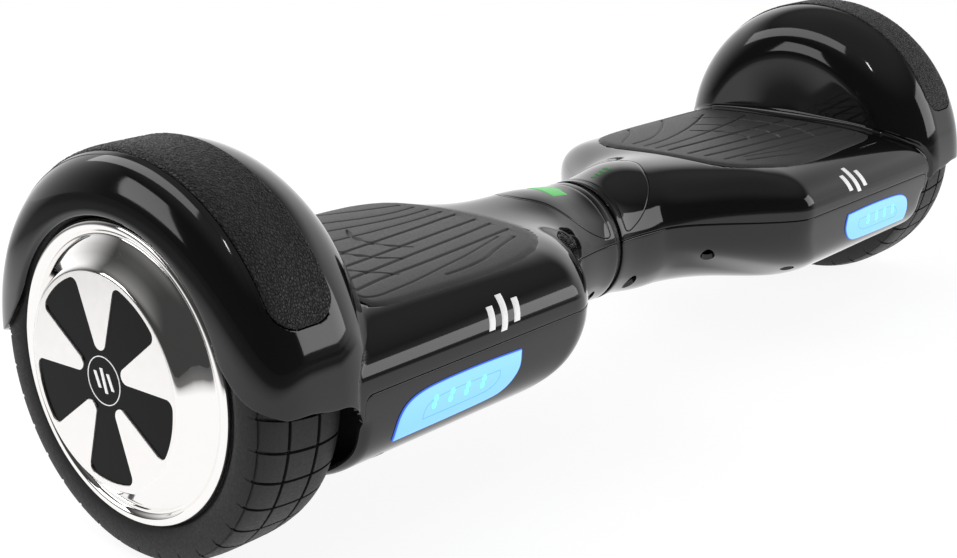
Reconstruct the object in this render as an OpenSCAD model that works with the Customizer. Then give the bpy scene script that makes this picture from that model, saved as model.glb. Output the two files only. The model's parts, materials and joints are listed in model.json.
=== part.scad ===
/* [Overall] */
// Height of the wheel axles above the ground, which is the tyre's radius
axle_z = 83.9; // [82:0.1:86]
// Height of the centre pivot above the ground
pivot_z = 74; // [73:0.5:75]
// Height of the seam between the upper and the lower shell
seam_z = 79.5; // [79:0.5:80]
// Wall thickness of the moulded shells
wall = 2.8; // [2.4:0.1:3.2]

/* [Wheel] */
// Inboard face of the tyre, measured from the middle of the board
tyre_u0 = 237.6; // [237:0.1:238]
// Outboard face of the tyre, measured from the middle of the board
tyre_u1 = 282.8; // [282:0.1:283]
// Outer radius of the bright lip of the wheel trim
lip_r = 65.4; // [64:0.1:66]
// Outboard face of the trim disc, which sets the overall length
disc_u = 291.6; // [289:0.1:293]
// Radius of the trim disc
disc_r = 46; // [42:0.5:48]
// Number of magnets in each hub motor
magnets = 30; // [20:2:40]
// Number of stator teeth in each hub motor
teeth = 27; // [24:3:30]

/* [Fender] */
// Outer radius of the fender about the axle
fender_r = 93.4; // [92:0.1:95]
// Half angle that the grip strip covers, from the top
strip_half = 70; // [60:1:74]
// Thickness of the rubber grip strip
strip_t = 2.2; // [1.5:0.1:2.5]

/* [Pivot] */
// Outer radius of the neck beside the centre groove
neck_r = 33.5; // [33:0.1:34]
// Outer radius of the steel pivot tube
tube_r = 15; // [14:0.5:16]
// Twist each way that the limit pin allows, in degrees
twist = 12; // [8:1:14]

/* [Foot pads] */
// How far a foot pad stands above the deck
pad_proud = 0.6; // [0.3:0.1:1]
// How far a foot pad goes down when stood on
pad_travel = 1.5; // [1:0.1:1.6]

/* [Hidden] */

// ---------------------------------------------------------------- curves
// The body's full cross-section is a closed cubic B-spline through these half-profile points [distance from the middle plane, height].
half_pts = [[0, 107.8], [18, 107.8], [36, 107.5], [52, 106.8], [65, 105.3], [76, 102], [85, 96.5], [90.6, 89.5], [91.4, 80],
            [89.2, 68], [87.2, 57.5], [83, 49], [72, 41.2], [60, 35.4], [46, 32.2], [30, 31.2], [15, 31], [0, 31]];
nk = len(half_pts);
ring_n = 2 * (nk - 1);
function kpt(i) = let (j = ((i % ring_n) + ring_n) % ring_n) j < nk ? half_pts[j] : [-half_pts[ring_n - j][0], half_pts[ring_n - j][1]];
function spline(t) = let (i = floor(t), f = t - i)
  kpt(i - 1) * pow(1 - f, 3) / 6 + kpt(i) * (3 * pow(f, 3) - 6 * f * f + 4) / 6
  + kpt(i + 1) * (-3 * pow(f, 3) + 3 * f * f + 3 * f + 1) / 6 + kpt(i + 2) * pow(f, 3) / 6;
function clamp01(x) = min(1, max(0, x));
function sstep(a, b, x) = let (v = clamp01((x - a) / (b - a))) v * v * (3 - 2 * v);
function unit(v) = v / norm(v);
// Neck radius: it opens slightly away from the centre groove.
function neck_at(u) = neck_r + 3.5 * sstep(8, 44, u);
// Outer section at distance u from the middle: a round neck that grows into the full body. The deck opens first and the belly last.
function base(u, t) = let (
    p = spline(t), c = [0, pivot_z], q = c + unit(p - c) * neck_at(u),
    th = min(abs(t), ring_n - abs(t)), k = clamp01((th - 8.5) / 4.5),
    sy = sstep(34 + 6 * k, 103 + 25 * k, u), sz = sstep(22 + 18 * k, 92 + 36 * k, u))
  [q[0] * (1 - sy) + p[0] * sy, q[1] * (1 - sz) + p[1] * sz];
// Where the inboard side of the fender stands, for a radius r about the axle.
function fender_u(r) = r <= 62 ? 212.6 + 2.4 * clamp01((r - 20) / 42) : 248 - 33 * sqrt(max(0, 1 - pow((r - 62) / (fender_r - 62), 2)));
ax = [0, axle_z];
function rad(t) = norm(base(200, t) - ax);
function dir(t) = unit(base(200, t) - ax);
function fil(t) = min(5.5, (fender_r - rad(t)) * 0.55);
function pt3(u, p) = [u, p[0], p[1]];

u_fix = [2, 10, 20, 30, 40, 48, 56, 64, 72, 80, 90, 100, 110, 122, 145, 200];
face_rows = [[262, 0], [270, 0.3], [275, 1.9], [279, 4.9], [282.4, 9.6], [284.8, 15.5], [285.8, 21], [285.5, 24]];
// Rows of the outer skin of the upper shell from the neck to the outboard lip of the fender.
function row_fix(u, ts) = [for (t = ts) pt3(u, base(u, t))];
function row_run(w, ts) = [for (t = ts) let (u1 = fender_u(rad(t)) - fil(t) * 0.9) pt3(200 + (u1 - 200) * w, base(200, t))];
function row_fil(q, ts) = [for (t = ts) let (f = fil(t), r = rad(t), a = q * 90)
    pt3(fender_u(r + f) - f * (1 - sin(a)), ax + dir(t) * (r + f * (1 - cos(a))))];
function row_wall(q, ts) = [for (t = ts) let (f = fil(t), r0 = rad(t) + f, r = r0 + (fender_r - r0) * q) pt3(fender_u(r), ax + dir(t) * r)];
function row_face(d, ts) = [for (t = ts) pt3(d[0], ax + dir(t) * (fender_r - d[1]))];
function skin_rows(ts) = concat(
  [for (u = u_fix) row_fix(u, ts)], [row_run(0.5, ts)],
  [for (q = [0, 0.35, 0.7, 1]) row_fil(q, ts)], [for (q = [0.15, 0.35, 0.55, 0.75, 0.9, 1]) row_wall(q, ts)],
  [for (d = face_rows) row_face(d, ts)]);

// A closed solid through rows of points, each row a closed loop, with flat ends.
module loft(rows) {
  n = len(rows[0]);
  m = len(rows);
  polyhedron(points = [for (r = rows) each [for (k = [n - 1:-1:0]) r[k]]], faces = concat(
    [[for (j = [0:n - 1]) j]], [[for (j = [n - 1:-1:0]) (m - 1) * n + j]],
    [for (i = [0:m - 2], j = [0:n - 1]) let (a = i * n + j, b = i * n + (j + 1) % n) [a, a + n, b]],
    [for (i = [0:m - 2], j = [0:n - 1]) let (a = i * n + j, b = i * n + (j + 1) % n) [b, a + n, b + n]]), convexity = 6);
}
// Booleans of moulded skins are worked out as one mesh.
module skin() resize([0, 0, 0]) children();

// The deck's flat middle spreads over the top of the fender, so it is cut finer there.
up_half = [0.17, 0.34, 0.52, 0.71, 0.92, 1.15, 1.42, 1.76, 2.2, 2.8, 3.5, 4.2, 4.9, 5.6, 6.3, 7, 7.7, 8.4, 9.25];
up_ts = concat([for (i = [len(up_half) - 1:-1:0]) -up_half[i]], [0], up_half);
low_ts = [for (i = [0:22]) 7.4 + i * (ring_n - 14.8) / 22];
full_ts = [for (i = [0:33]) i * ring_n / 34];

// Inner skin: the outer section moved inward by the wall, thicker under the foot pad.
function inset(u, t) = let (a = base(u, t - 0.05), b = base(u, t + 0.05), d = unit(b - a), n = [d[1], -d[0]],
    th = min(abs(t), ring_n - abs(t)),
    w = wall + 4.8 * (1 - sstep(5.2, 6.4, th)) * sstep(66, 76, u))
  base(u, t) + n * w;
module cavity(u_end) loft([for (u = concat([-2, 8, 20, 32, 44, 54, 64, 74, 84, 94, 106, 122, 150], [u_end])) [for (t = full_ts) pt3(u, inset(max(u, 0), t))]]);

module along_x(u) translate([u, 0, 0]) rotate([90, 0, 90]) children();
module on_axle() translate([0, 0, axle_z]) rotate([0, 90, 0]) children();
module on_pivot() translate([0, 0, pivot_z]) rotate([0, 90, 0]) children();
module tube(r1, r2, u0, u1) rotate_extrude() translate([r1, u0]) square([r2 - r1, u1 - u0]);
module axial(r, u0, u1) translate([0, 0, u0]) cylinder(r = r, h = u1 - u0);

// Space for the wheel inside the upper shell, as a profile [radius, u] turned about the axle.
in_r = fender_r - wall;
well_pts = concat([[0, 217.8], [40, 217.8]],
  [for (a = [0:15:90]) [62 + (in_r - 62) * sin(a), 248 - 30.4 * cos(a)]],
  [[in_r, 267], [in_r - 0.5, 272], [in_r - 2.6, 276.2], [in_r - 6.2, 279.8], [in_r - 11.4, 282.3], [in_r - 16, 283.4], [68.6, 283.4], [68.6, 300], [0, 300]]);
module wheel_well() on_axle() rotate_extrude($fn = 64) polygon(well_pts);
// Cutter that leaves the upper shell: the seam inboard, the arch around the tyre, and the fender's lower edge.
module below_upper() rotate([90, 0, 0]) translate([0, 0, -110]) linear_extrude(220)
  polygon(concat([[-5, seam_z], [235.4, seam_z], [235.4, 65]], [for (a = [165:-15:90]) [249.8 + 14.4 * cos(a), 65 + 14.4 * sin(a)]],
    [[258, 80.6], [268, 82], [300, 82.4], [300, 0], [-5, 0]]));
// Lower end of the fender's outer lip, cut back in a sweep.
module lip_cut() for (s = [-1, 1]) scale([1, s, 1]) translate([281.5, 0, 0]) rotate([90, 0, 90]) linear_extrude(20)
  polygon([[60, 108], [64.5, 107.6], [67.6, 101], [71.8, 95.8], [76, 91.3], [82, 86.6], [88, 83.6], [91.2, 82.4], [94, 80], [94, 70], [40, 70], [40, 108]]);
module strip_ring(r0, r1, u0, u1, half) on_axle() rotate([0, 0, 180 - half]) rotate_extrude(angle = 2 * half, $fn = 90) translate([r0, u0]) square([r1 - r0, u1 - u0]);

// Foot pad outline in plan, and its crowned top as a profile across the board.
pad_half = [[206.5, 73.5], [196, 72.6], [182, 70.8], [165, 69.2], [145, 68.4], [128, 68.2], [114, 66.6], [103, 63], [94, 58], [87.6, 52], [83.6, 45], [81, 34], [80.4, 18]];
function grown(p, g) = let (n = len(p)) [for (i = [0:n - 1]) let (a = p[max(i - 1, 0)], b = p[min(i + 1, n - 1)], d = unit(b - a)) p[i] + g * [d[1], -d[0]]];
module pad_plan(g) {
  h = grown(pad_half, g);
  polygon(concat([[206.5 + g, h[0][1]]], h, [for (i = [len(h) - 1:-1:0]) [h[i][0], -h[i][1]]], [[206.5 + g, -h[0][1]]]));
}
crown = [for (t = [0:0.75:7.5]) spline(t)];
module pad_band(top, bottom) rotate([90, 0, 90]) linear_extrude(260)
  polygon(concat([[0, crown[2][1] + top]], [for (i = [2:len(crown) - 1]) crown[i] + [0, top]], [for (i = [len(crown) - 1:-1:2]) crown[i] + [0, bottom]],
    [for (i = [2:len(crown) - 1]) [-crown[i][0], crown[i][1] + bottom]], [for (i = [len(crown) - 1:-1:2]) [-crown[i][0], crown[i][1] + top]]));
module pad_block(g, top, bottom) intersection() {
  translate([0, 0, 60]) linear_extrude(80) pad_plan(g);
  pad_band(top, bottom);
}
nubs = [[112, 34], [112, -34], [182, 40], [182, -40]];

// Display insert: the area of the neck's top that it covers, as a lofted patch.
function ins_out(th) = 50 * pow(max(0, 1 - pow(abs(th) / 76, 2.6)), 0.62) + 5;
function theta(t) = let (p = spline(t) - [0, pivot_z]) atan2(p[0], p[1]);
ins_ts = [for (i = [-12:12]) i * 6.62 / 12];
module insert_patch(g, up, down) {
  n = 6;
  function pt(t, k, off) = let (u0 = 6.2 - g, u1 = max(u0 + 0.8, ins_out(max(0, abs(theta(t)) - g * 2.4)) + g), u = u0 + (u1 - u0) * k / n, p = base(u, t), q = unit(p - [0, pivot_z])) pt3(u, p + q * off);
  loft([for (t = ins_ts) concat([for (k = [0:n]) pt(t * (1 + g * 0.04), k, down)], [for (k = [n:-1:0]) pt(t * (1 + g * 0.04), k, up)])]);
}

// Lamp outline: u along the board and s up the sloping face. Opposite corners are sharp and round.
lamp_pts = concat([[216.6, 0]], [for (a = [0:15:90]) [197.5 + 18.2 * cos(a), 4 + 17.2 * sin(a) ]], [[180, 21.4], [160, 21.3], [141.4, 20.6]],
  [[141.2, 15]], [for (a = [180:15:270]) [160 + 18.6 * cos(a), 14.6 + 14.4 * sin(a)]], [[185, 0]]);
module on_lamp_face() translate([0, -85.4, 52.2]) rotate([90 + 14.4, 0, 0]) children();
module lamp_shape(g) polygon([for (p = lamp_pts) [p[0] + g * (p[0] > 180 ? 1 : -1), p[1] + g * (p[1] > 10 ? 1 : -1)]]);

screw_at = [[18, 24.5], [62, 46], [106, 71], [215.2, 72]];
function screw_both() = [for (p = screw_at, s = [-1, 1]) [p[0], p[1] * s]];

// ---------------------------------------------------------------- shells
module upper_shell() color([0.02, 0.02, 0.022]) skin() difference() {
  loft(skin_rows(up_ts));
  difference() {
    cavity(211.5);
    for (p = screw_both()) if (p[0] < 210) translate([p[0], p[1], seam_z]) cylinder(r = 4.6, h = 40, $fn = 12);
  }
  wheel_well();
  below_upper();
  lip_cut();
  strip_ring(fender_r - strip_t + 0.4, 99, 242.8, 275, strip_half + 0.6);
  pad_block(0.5, 20, -4.6);
  for (p = nubs) translate([p[0], p[1], 80]) cylinder(r = 5, h = 40, $fn = 24);
  insert_patch(0.35, 3, -1.9);
  for (p = screw_both()) translate([p[0], p[1], seam_z - 1]) cylinder(r = 2, h = 17, $fn = 10);
  on_axle() axial(10.5, 205, 222, $fn = 32);
}
// A point of the full section moved inward by w.
function pull(t, w) = let (a = base(200, t - 0.05), b = base(200, t + 0.05), d = unit(b - a)) base(200, t) + w * [d[1], -d[0]];
module lower_shell(rear) color([0.05, 0.05, 0.052]) skin() difference() {
  loft(concat([for (u = concat(u_fix, [218, 230])) [for (t = low_ts) pt3(u, base(u, t))]],
    [for (a = [30:30:90]) [for (t = low_ts) pt3(230 + 4 * sin(a), pull(t, 3.2 * (1 - cos(a))))]]));
  difference() {
    cavity(221.5);
    for (p = screw_both()) translate([p[0], p[1], 30]) cylinder(r = 6.4, h = 60, $fn = 16);
  }
  translate([-5, -110, seam_z - 0.3]) cube([260, 220, 60]);
  loft([for (u = [225, 240]) [for (t = full_ts) pt3(u, pull(t, wall + 1.6))]]);
  on_axle() axial(10.5, 200, 240, $fn = 32);
  for (p = screw_both()) translate([p[0], p[1], 0]) cylinder(r = 4.1, h = 68, $fn = 16);
  for (p = screw_both()) translate([p[0], p[1], 0]) cylinder(r = 2, h = 100, $fn = 10);
  on_lamp_face() translate([0, 0, -6]) linear_extrude(20) lamp_shape(0.3);
  if (rear) {
    translate([150, 60, 62]) rotate([-90, 0, 0]) cylinder(r = 8.7, h = 50, $fn = 32);
    translate([186, 60, 62]) rotate([-90, 0, 0]) cylinder(r = 6.5, h = 50, $fn = 32);
  }
}
module fender_strip() color([0.03, 0.03, 0.03]) on_axle() rotate([0, 0, 180 - strip_half]) rotate_extrude(angle = 2 * strip_half, $fn = 90) translate([fender_r, 0])
  polygon([[0.6 - strip_t, 243.2], [0.5, 243.2], [0.6, 244], [0.6, 270], [0, 273], [-0.8, 274.6], [0.6 - strip_t, 274.6]]);
module foot_pad() color([0.07, 0.07, 0.07]) {
  pad_block(0, pad_proud, -2.7);
  for (p = nubs) translate([p[0], p[1], 92]) cylinder(r = 4.2, h = 14);
}
module lamp_lens() color([0.35, 0.72, 1]) on_lamp_face() translate([0, 0, -2.2]) linear_extrude(2.7) lamp_shape(0);
module lamp_board() color([0.1, 0.35, 0.2]) on_lamp_face() translate([150, 3, -6.4]) {
  cube([56, 14, 1.2]);
  for (i = [0:3]) translate([8 + i * 12, 4, 1.2]) cube([3.5, 6, 1.2]);
}
module display_insert() color([0.01, 0.01, 0.01]) skin() insert_patch(0, 0.05, -1.6);

// ---------------------------------------------------------------- wheel and hub motor
tyre_pts = let (a = tyre_u0, b = tyre_u1, c = (a + b) / 2, r = axle_z) concat(
  [[61.4, a + 4.4], [66, a + 2.6], [68.5, a + 0.8], [73, a], [77.5, a + 0.7], [80.6, a + 2.6], [82.6, a + 5.4], [r - 0.5, a + 8]],
  [for (g = [c - 8.4, c + 6.8]) each [[r, g], [r - 1.6, g], [r - 1.6, g + 1.6], [r, g + 1.6]]],
  [[r - 0.5, b - 8], [82.6, b - 5.4], [80.6, b - 2.6], [77.5, b - 0.7], [73, b], [68.5, b - 1], [66.5, b - 3.8], [61.4, b - 4]]);
module tyre() color([0.05, 0.05, 0.05]) on_axle() rotate_extrude() polygon(tyre_pts);
module wheel_rim() color([0.55, 0.55, 0.56]) on_axle() difference() {
  union() {
    tube(57.6, 61.3, 243, 279.2);
    tube(16, 57.7, 275.4, 279.2);
    tube(17.55, 23, 266, 276);
    tube(61.2, 64.6, 279.2, 280.4);
    tube(50, 61.3, 279.1, 280.4);
  }
  for (i = [0:5]) rotate([0, 0, i * 60]) translate([36, 0, 270]) cylinder(r = 2.1, h = 12);
}
module wheel_trim() color([0.9, 0.89, 0.88]) on_axle() rotate_extrude() polygon([
  [56.4, 280.6], [lip_r - 0.6, 280.6], [lip_r, 281.4], [lip_r, 282.8], [lip_r - 0.9, 283.7], [lip_r - 3.6, 283.8], [lip_r - 5.2, 282.9], [lip_r - 5.8, 282.1],
  [lip_r - 7.4, 282.1], [disc_r + 1.2, disc_u - 0.9], [disc_r - 0.2, disc_u], [45, disc_u], [45, disc_u - 0.9], [11.2, disc_u - 0.9], [11.2, disc_u - 1.8], [disc_r - 0.6, disc_u - 1.9]]);
// Star with arms that widen outward
arm_pts = [[9, -7.6], [14, -7.4], [18, -7.8], [39.6, -14.6], [41.6, -14.4], [42.6, -12.6], [43.4, -8], [43.9, 0], [43.4, 8], [42.6, 12.6], [41.6, 14.4], [39.6, 14.6], [18, 7.8], [14, 7.4], [9, 7.6]];
module star_inlay() color([0.02, 0.02, 0.02]) on_axle() translate([0, 0, disc_u - 0.85]) linear_extrude(0.65) difference() {
  union() {
    circle(r = 15.5);
    for (i = [0:4]) rotate(i * 72) polygon(arm_pts);
  }
  circle(r = 11.2);
}
module wheel_badge() color([0.04, 0.04, 0.04]) on_axle() { axial(11, disc_u - 1.7, disc_u - 0.3); tube(9.4, 10, disc_u - 0.31, disc_u - 0.1); }
module hub_cover() color([0.42, 0.42, 0.43]) on_axle() difference() {
  union() {
    tube(17.55, 57.5, 236, 238.6);
    tube(17.55, 23, 238.5, 247.6);
    tube(50, 61.2, 238.5, 242.8);
    tube(10, 18, 236, 238);
  }
  for (i = [0:5]) rotate([0, 0, i * 60 + 30]) translate([54, 0, 230]) cylinder(r = 1.8, h = 20);
}
module rotor_ring() color([0.3, 0.3, 0.31]) on_axle() tube(54.2, 57.5, 246, 271);
module magnet_set() color([0.6, 0.6, 0.62]) on_axle() for (i = [0:magnets - 1]) rotate([0, 0, i * 360 / magnets]) translate([51.9, -4.6, 249.5]) cube([2, 9.2, 17]);
module stator() color([0.35, 0.33, 0.3]) on_axle() translate([0, 0, 251]) linear_extrude(13) difference() {
  union() {
    circle(r = 35);
    for (i = [0:teeth - 1]) rotate(i * 360 / teeth) {
      translate([34, -1.7]) square([15, 3.4]);
      translate([48.4, -4.6]) square([2.4, 9.2]);
    }
  }
  circle(r = 7.52);
  for (i = [0:5]) rotate(i * 60) translate([21, 0]) circle(r = 6.5);
}
module windings() color([0.72, 0.38, 0.16]) on_axle() for (i = [0:teeth - 1]) rotate([0, 0, i * 360 / teeth]) difference() {
  translate([36.6, -3.3, 248.8]) cube([11, 6.6, 17.4]);
  translate([36, -1.85, 250.8]) cube([12, 3.7, 13.4]);
}
module axle() color([0.66, 0.66, 0.68]) on_axle() difference() {
  axial(7.5, 188, 279);
  translate([0, 0, 180]) axial(2.6, 0, 70);
  translate([-12, -3, 247.7]) cube([12, 6, 2.6]);
}
module wheel_bearings() color([0.7, 0.71, 0.73]) on_axle() for (u = [238.7, 266.6]) translate([0, 0, u]) rotate_extrude()
  polygon([[7.55, 0], [11, 0], [11.4, 1], [13.6, 1], [14, 0], [17.5, 0], [17.5, 8.6], [14, 8.6], [13.6, 7.6], [11.4, 7.6], [11, 8.6], [7.55, 8.6]]);

// ---------------------------------------------------------------- frame and running gear
module chassis(bore) color([0.62, 0.62, 0.63]) difference() {
  union() {
    translate([0, 0, 78.8]) linear_extrude(3.2) polygon([[58, -30], [88, -58], [208, -58], [208, 58], [88, 58], [58, 30]]);
    for (s = [-1, 1]) translate([90, s * 56 - 2, 81]) cube([118, 4, 7]);
    on_pivot() axial(24, 28, 74);
    for (s = [-1, 1]) translate([56, s * 23 - 2, 66]) cube([38, 4, 14]);
    translate([190, -25, 66]) cube([18, 50, 17.7]);
  }
  on_pivot() axial(bore, 20, 84);
  translate([bore > 17 ? 34 : 50, 0, pivot_z]) cylinder(r = 3.2, h = 30);
  on_axle() axial(7.55, 180, 215);
  for (x = [195, 203], s = [-1, 1]) translate([x, s * 17, 60]) cylinder(r = 2.7, h = 30);
  for (p = nubs) translate([p[0], p[1], 70]) cylinder(r = 6, h = 20);
  for (x = [120, 150], s = [-1, 0, 1]) translate([x, s * 22, 70]) cylinder(r = 4, h = 20);
}
module axle_cap() color([0.58, 0.58, 0.6]) difference() {
  translate([190, -25, 84.1]) cube([17.6, 50, 12]);
  on_axle() axial(7.55, 180, 215);
  for (x = [195, 203], s = [-1, 1]) translate([x, s * 17, 70]) cylinder(r = 3.2, h = 40);
}
module clamp_bolts() color([0.4, 0.4, 0.42]) for (x = [195, 203], s = [-1, 1]) translate([x, s * 17, 0]) difference() {
  union() {
    translate([0, 0, 69]) cylinder(r = 2.5, h = 28);
    translate([0, 0, 96.2]) cylinder(r = 3.7, h = 3.2);
  }
  translate([0, 0, 97.6]) cylinder(r = 2, h = 3, $fn = 6);
}
module sensor_board() color([0.08, 0.3, 0.16]) for (s = [-1, 1]) {
  translate([102, s * 37 - 13, 87]) difference() {
    cube([86, 26, 1.6]);
    for (x = [4, 82]) translate([x, 13, -1]) cylinder(r = 1.6, h = 4);
  }
  for (x = [106, 184]) translate([x, s * 37, 82.2]) cylinder(r = 3, h = 4.9);
  for (p = nubs) if (p[1] * s > 0) translate([p[0], p[1], 88.5]) cylinder(r = 3, h = 1.6);
}
module shell_screws() color([0.15, 0.15, 0.16]) for (p = screw_both()) translate([p[0], p[1], 0]) difference() {
  union() {
    translate([0, 0, 65.6]) cylinder(r = 3.5, h = 2.3);
    translate([0, 0, 67.5]) cylinder(r = 1.8, h = 25);
  }
  translate([0, 0, 65]) cylinder(r = 1.6, h = 1.7, $fn = 6);
}
module pivot_tube() color([0.6, 0.6, 0.62]) on_pivot() difference() {
  tube(12, tube_r, -68, 80);
  tube(tube_r - 0.8, tube_r + 1, 75, 77.2);
  rotate([0, 0, 180 - twist - 14]) rotate_extrude(angle = 2 * (twist + 14)) translate([10, 30.4]) square([8, 7.2]);
  rotate([0, 0, 180]) translate([5, 0, -50]) rotate([0, 90, 0]) cylinder(r = 3.2, h = 20);
}
module pivot_bushings() color([0.78, 0.62, 0.3]) on_pivot() for (u = [39.4, 59.8]) tube(tube_r + 0.05, 19.1, u, u + 13.8);
module retaining_ring() color([0.25, 0.25, 0.26]) on_pivot() rotate([0, 0, 25]) rotate_extrude(angle = 310) translate([tube_r - 0.7, 75.1]) square([4.2, 2]);
module headed_pin(x) translate([x, 0, pivot_z]) { translate([0, 0, 12.6]) cylinder(r = 3, h = 14.2); translate([0, 0, 24.4]) cylinder(r = 4.8, h = 3.2); }
module limit_pin() color([0.5, 0.5, 0.52]) headed_pin(34);
module lock_pin() color([0.5, 0.5, 0.52]) headed_pin(50);
module neck_seal() color([0.02, 0.02, 0.02]) on_pivot() tube(27, 32.2, -1.7, 1.7);
module battery_pack() color([0.12, 0.25, 0.55]) difference() {
  translate([100, -43, 39]) cube([87, 86, 37.5]);
  for (s = [-1, 1]) translate([94, s * 43, 39]) rotate([45, 0, 0]) translate([0, -5, -5]) cube([100, 10, 10]);
}
module main_board() color([0.07, 0.32, 0.18]) {
  translate([100, -38, 68]) cube([87, 76, 1.8]);
  for (x = [105, 182], s = [-1, 1]) translate([x, s * 33, 69.7]) cylinder(r = 3, h = 8.8);
  for (i = [0:5]) translate([112 + i * 11, -30, 60]) cube([8, 5, 8.1]);
  for (i = [0:3]) translate([118 + i * 20, 12, 58]) cylinder(r = 5, h = 10.1);
}
module charge_port() color([0.5, 0.5, 0.52]) translate([150, 0, 62]) rotate([-90, 0, 0]) difference() {
  union() { translate([0, 0, 70]) cylinder(r = 8.2, h = 19.4); translate([0, 0, 75]) cylinder(r = 11, h = 2.2); }
  translate([0, 0, 76]) cylinder(r = 6, h = 20);
  for (a = [0:120:240]) rotate(a) translate([3, 0, 69]) cylinder(r = 0.8, h = 10);
}
cap_y = 91.95;
cap_z = 75.4;
module charge_cap() color([0.04, 0.04, 0.04]) {
  translate([150, 0, 62]) rotate([-90, 0, 0]) translate([0, 0, 90.3]) cylinder(r = 9.4, h = 1.8);
  translate([146, 91.15, 69]) cube([8, 1.6, 6.2]);
  translate([142, cap_y, cap_z]) rotate([0, 90, 0]) cylinder(r = 0.9, h = 16);
}
module cap_bracket() color([0.1, 0.1, 0.1]) difference() {
  for (x = [142.4, 154.8]) translate([x, 90.85, 73.9]) cube([2.8, 2.45, 3]);
  translate([140, cap_y, cap_z]) rotate([0, 90, 0]) cylinder(r = 0.95, h = 20);
}
module power_button() color([0.06, 0.06, 0.06]) translate([186, 0, 62]) rotate([-90, 0, 0]) { translate([0, 0, 80]) cylinder(r = 6, h = 10); translate([0, 0, 77.4]) cylinder(r = 7.6, h = 2.7); }

// ---------------------------------------------------------------- assembly: the right half is drawn as it stands, the left half is its mirror image
module L() mirror([1, 0, 0]) children();

L() upper_shell();  // left_upper_shell
L() lower_shell(true);  // left_lower_shell
L() fender_strip();  // left_fender_strip
L() foot_pad();  // left_foot_pad
L() lamp_lens();  // left_lamp_lens
L() lamp_board();  // left_lamp_board
L() display_insert();  // left_display_insert
L() tyre();  // left_tyre
L() wheel_rim();  // left_wheel_rim
L() wheel_trim();  // left_wheel_trim
L() star_inlay();  // left_star_inlay
L() wheel_badge();  // left_wheel_badge
L() hub_cover();  // left_hub_cover
L() rotor_ring();  // left_rotor_ring
L() magnet_set();  // left_magnets
L() stator();  // left_stator
L() windings();  // left_windings
L() axle();  // left_axle
L() wheel_bearings();  // left_wheel_bearings
L() chassis(15.2);  // left_chassis
L() axle_cap();  // left_axle_cap
L() clamp_bolts();  // left_clamp_bolts
L() sensor_board();  // left_sensor_board
L() shell_screws();  // left_shell_screws
upper_shell();  // right_upper_shell
lower_shell(false);  // right_lower_shell
fender_strip();  // right_fender_strip
foot_pad();  // right_foot_pad
lamp_lens();  // right_lamp_lens
lamp_board();  // right_lamp_board
display_insert();  // right_display_insert
tyre();  // right_tyre
wheel_rim();  // right_wheel_rim
wheel_trim();  // right_wheel_trim
star_inlay();  // right_star_inlay
wheel_badge();  // right_wheel_badge
hub_cover();  // right_hub_cover
rotor_ring();  // right_rotor_ring
magnet_set();  // right_magnets
stator();  // right_stator
windings();  // right_windings
axle();  // right_axle
wheel_bearings();  // right_wheel_bearings
chassis(19.2);  // right_chassis
axle_cap();  // right_axle_cap
clamp_bolts();  // right_clamp_bolts
sensor_board();  // right_sensor_board
shell_screws();  // right_shell_screws
pivot_tube();
pivot_bushings();
retaining_ring();
limit_pin();
L() lock_pin();
neck_seal();
battery_pack();
L() main_board();
L() charge_port();
L() cap_bracket();
L() charge_cap();
L() power_button();
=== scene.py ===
import math, json
import bpy
import numpy as np
from mathutils import Vector, Matrix, noise


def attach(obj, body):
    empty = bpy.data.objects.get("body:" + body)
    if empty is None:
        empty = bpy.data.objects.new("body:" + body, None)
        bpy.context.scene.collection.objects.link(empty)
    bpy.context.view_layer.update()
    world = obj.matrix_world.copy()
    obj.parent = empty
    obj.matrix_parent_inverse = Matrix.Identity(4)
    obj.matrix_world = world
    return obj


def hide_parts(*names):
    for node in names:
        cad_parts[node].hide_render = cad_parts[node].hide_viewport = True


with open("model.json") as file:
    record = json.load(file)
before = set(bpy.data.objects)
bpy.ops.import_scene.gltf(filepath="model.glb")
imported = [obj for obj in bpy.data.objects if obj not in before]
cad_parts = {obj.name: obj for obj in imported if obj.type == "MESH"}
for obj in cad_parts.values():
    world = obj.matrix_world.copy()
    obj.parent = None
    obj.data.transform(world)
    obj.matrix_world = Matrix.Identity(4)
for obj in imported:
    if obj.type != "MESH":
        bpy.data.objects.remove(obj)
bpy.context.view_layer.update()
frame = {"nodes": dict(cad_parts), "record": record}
MM = 0.001
SIDES = (("left", -1), ("right", 1))

# ------------------------------------------------------------------ section curves (mm), shared with the CAD
AZ, FR, NZ, NR, SEAM = 83.9, 93.4, 74.0, 33.5, 79.5
K = [[0, 107.8], [18, 107.8], [36, 107.5], [52, 106.8], [65, 105.3], [76, 102], [85, 96.5], [90.6, 89.5], [91.4, 80],
     [89.2, 68], [87.2, 57.5], [83, 49], [72, 41.2], [60, 35.4], [46, 32.2], [30, 31.2], [15, 31], [0, 31]]
NK = len(K)
RN = 2 * (NK - 1)
RING = np.array([K[j] if j < NK else [-K[RN - j][0], K[RN - j][1]] for j in range(RN)], float)


def spl(t):
    t = np.asarray(t, float)
    i = np.floor(t).astype(int)
    f = t - i
    w = [(1 - f) ** 3 / 6, (3 * f ** 3 - 6 * f ** 2 + 4) / 6, (-3 * f ** 3 + 3 * f ** 2 + 3 * f + 1) / 6, f ** 3 / 6]
    return sum(w[k][..., None] * RING[(i + k - 1) % RN] for k in range(4))


def sst(a, b, x):
    v = np.clip((np.asarray(x, float) - a) / (b - a), 0, 1)
    return v * v * (3 - 2 * v)


def neck(u):
    return NR + 3.5 * sst(8, 44, u)


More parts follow.
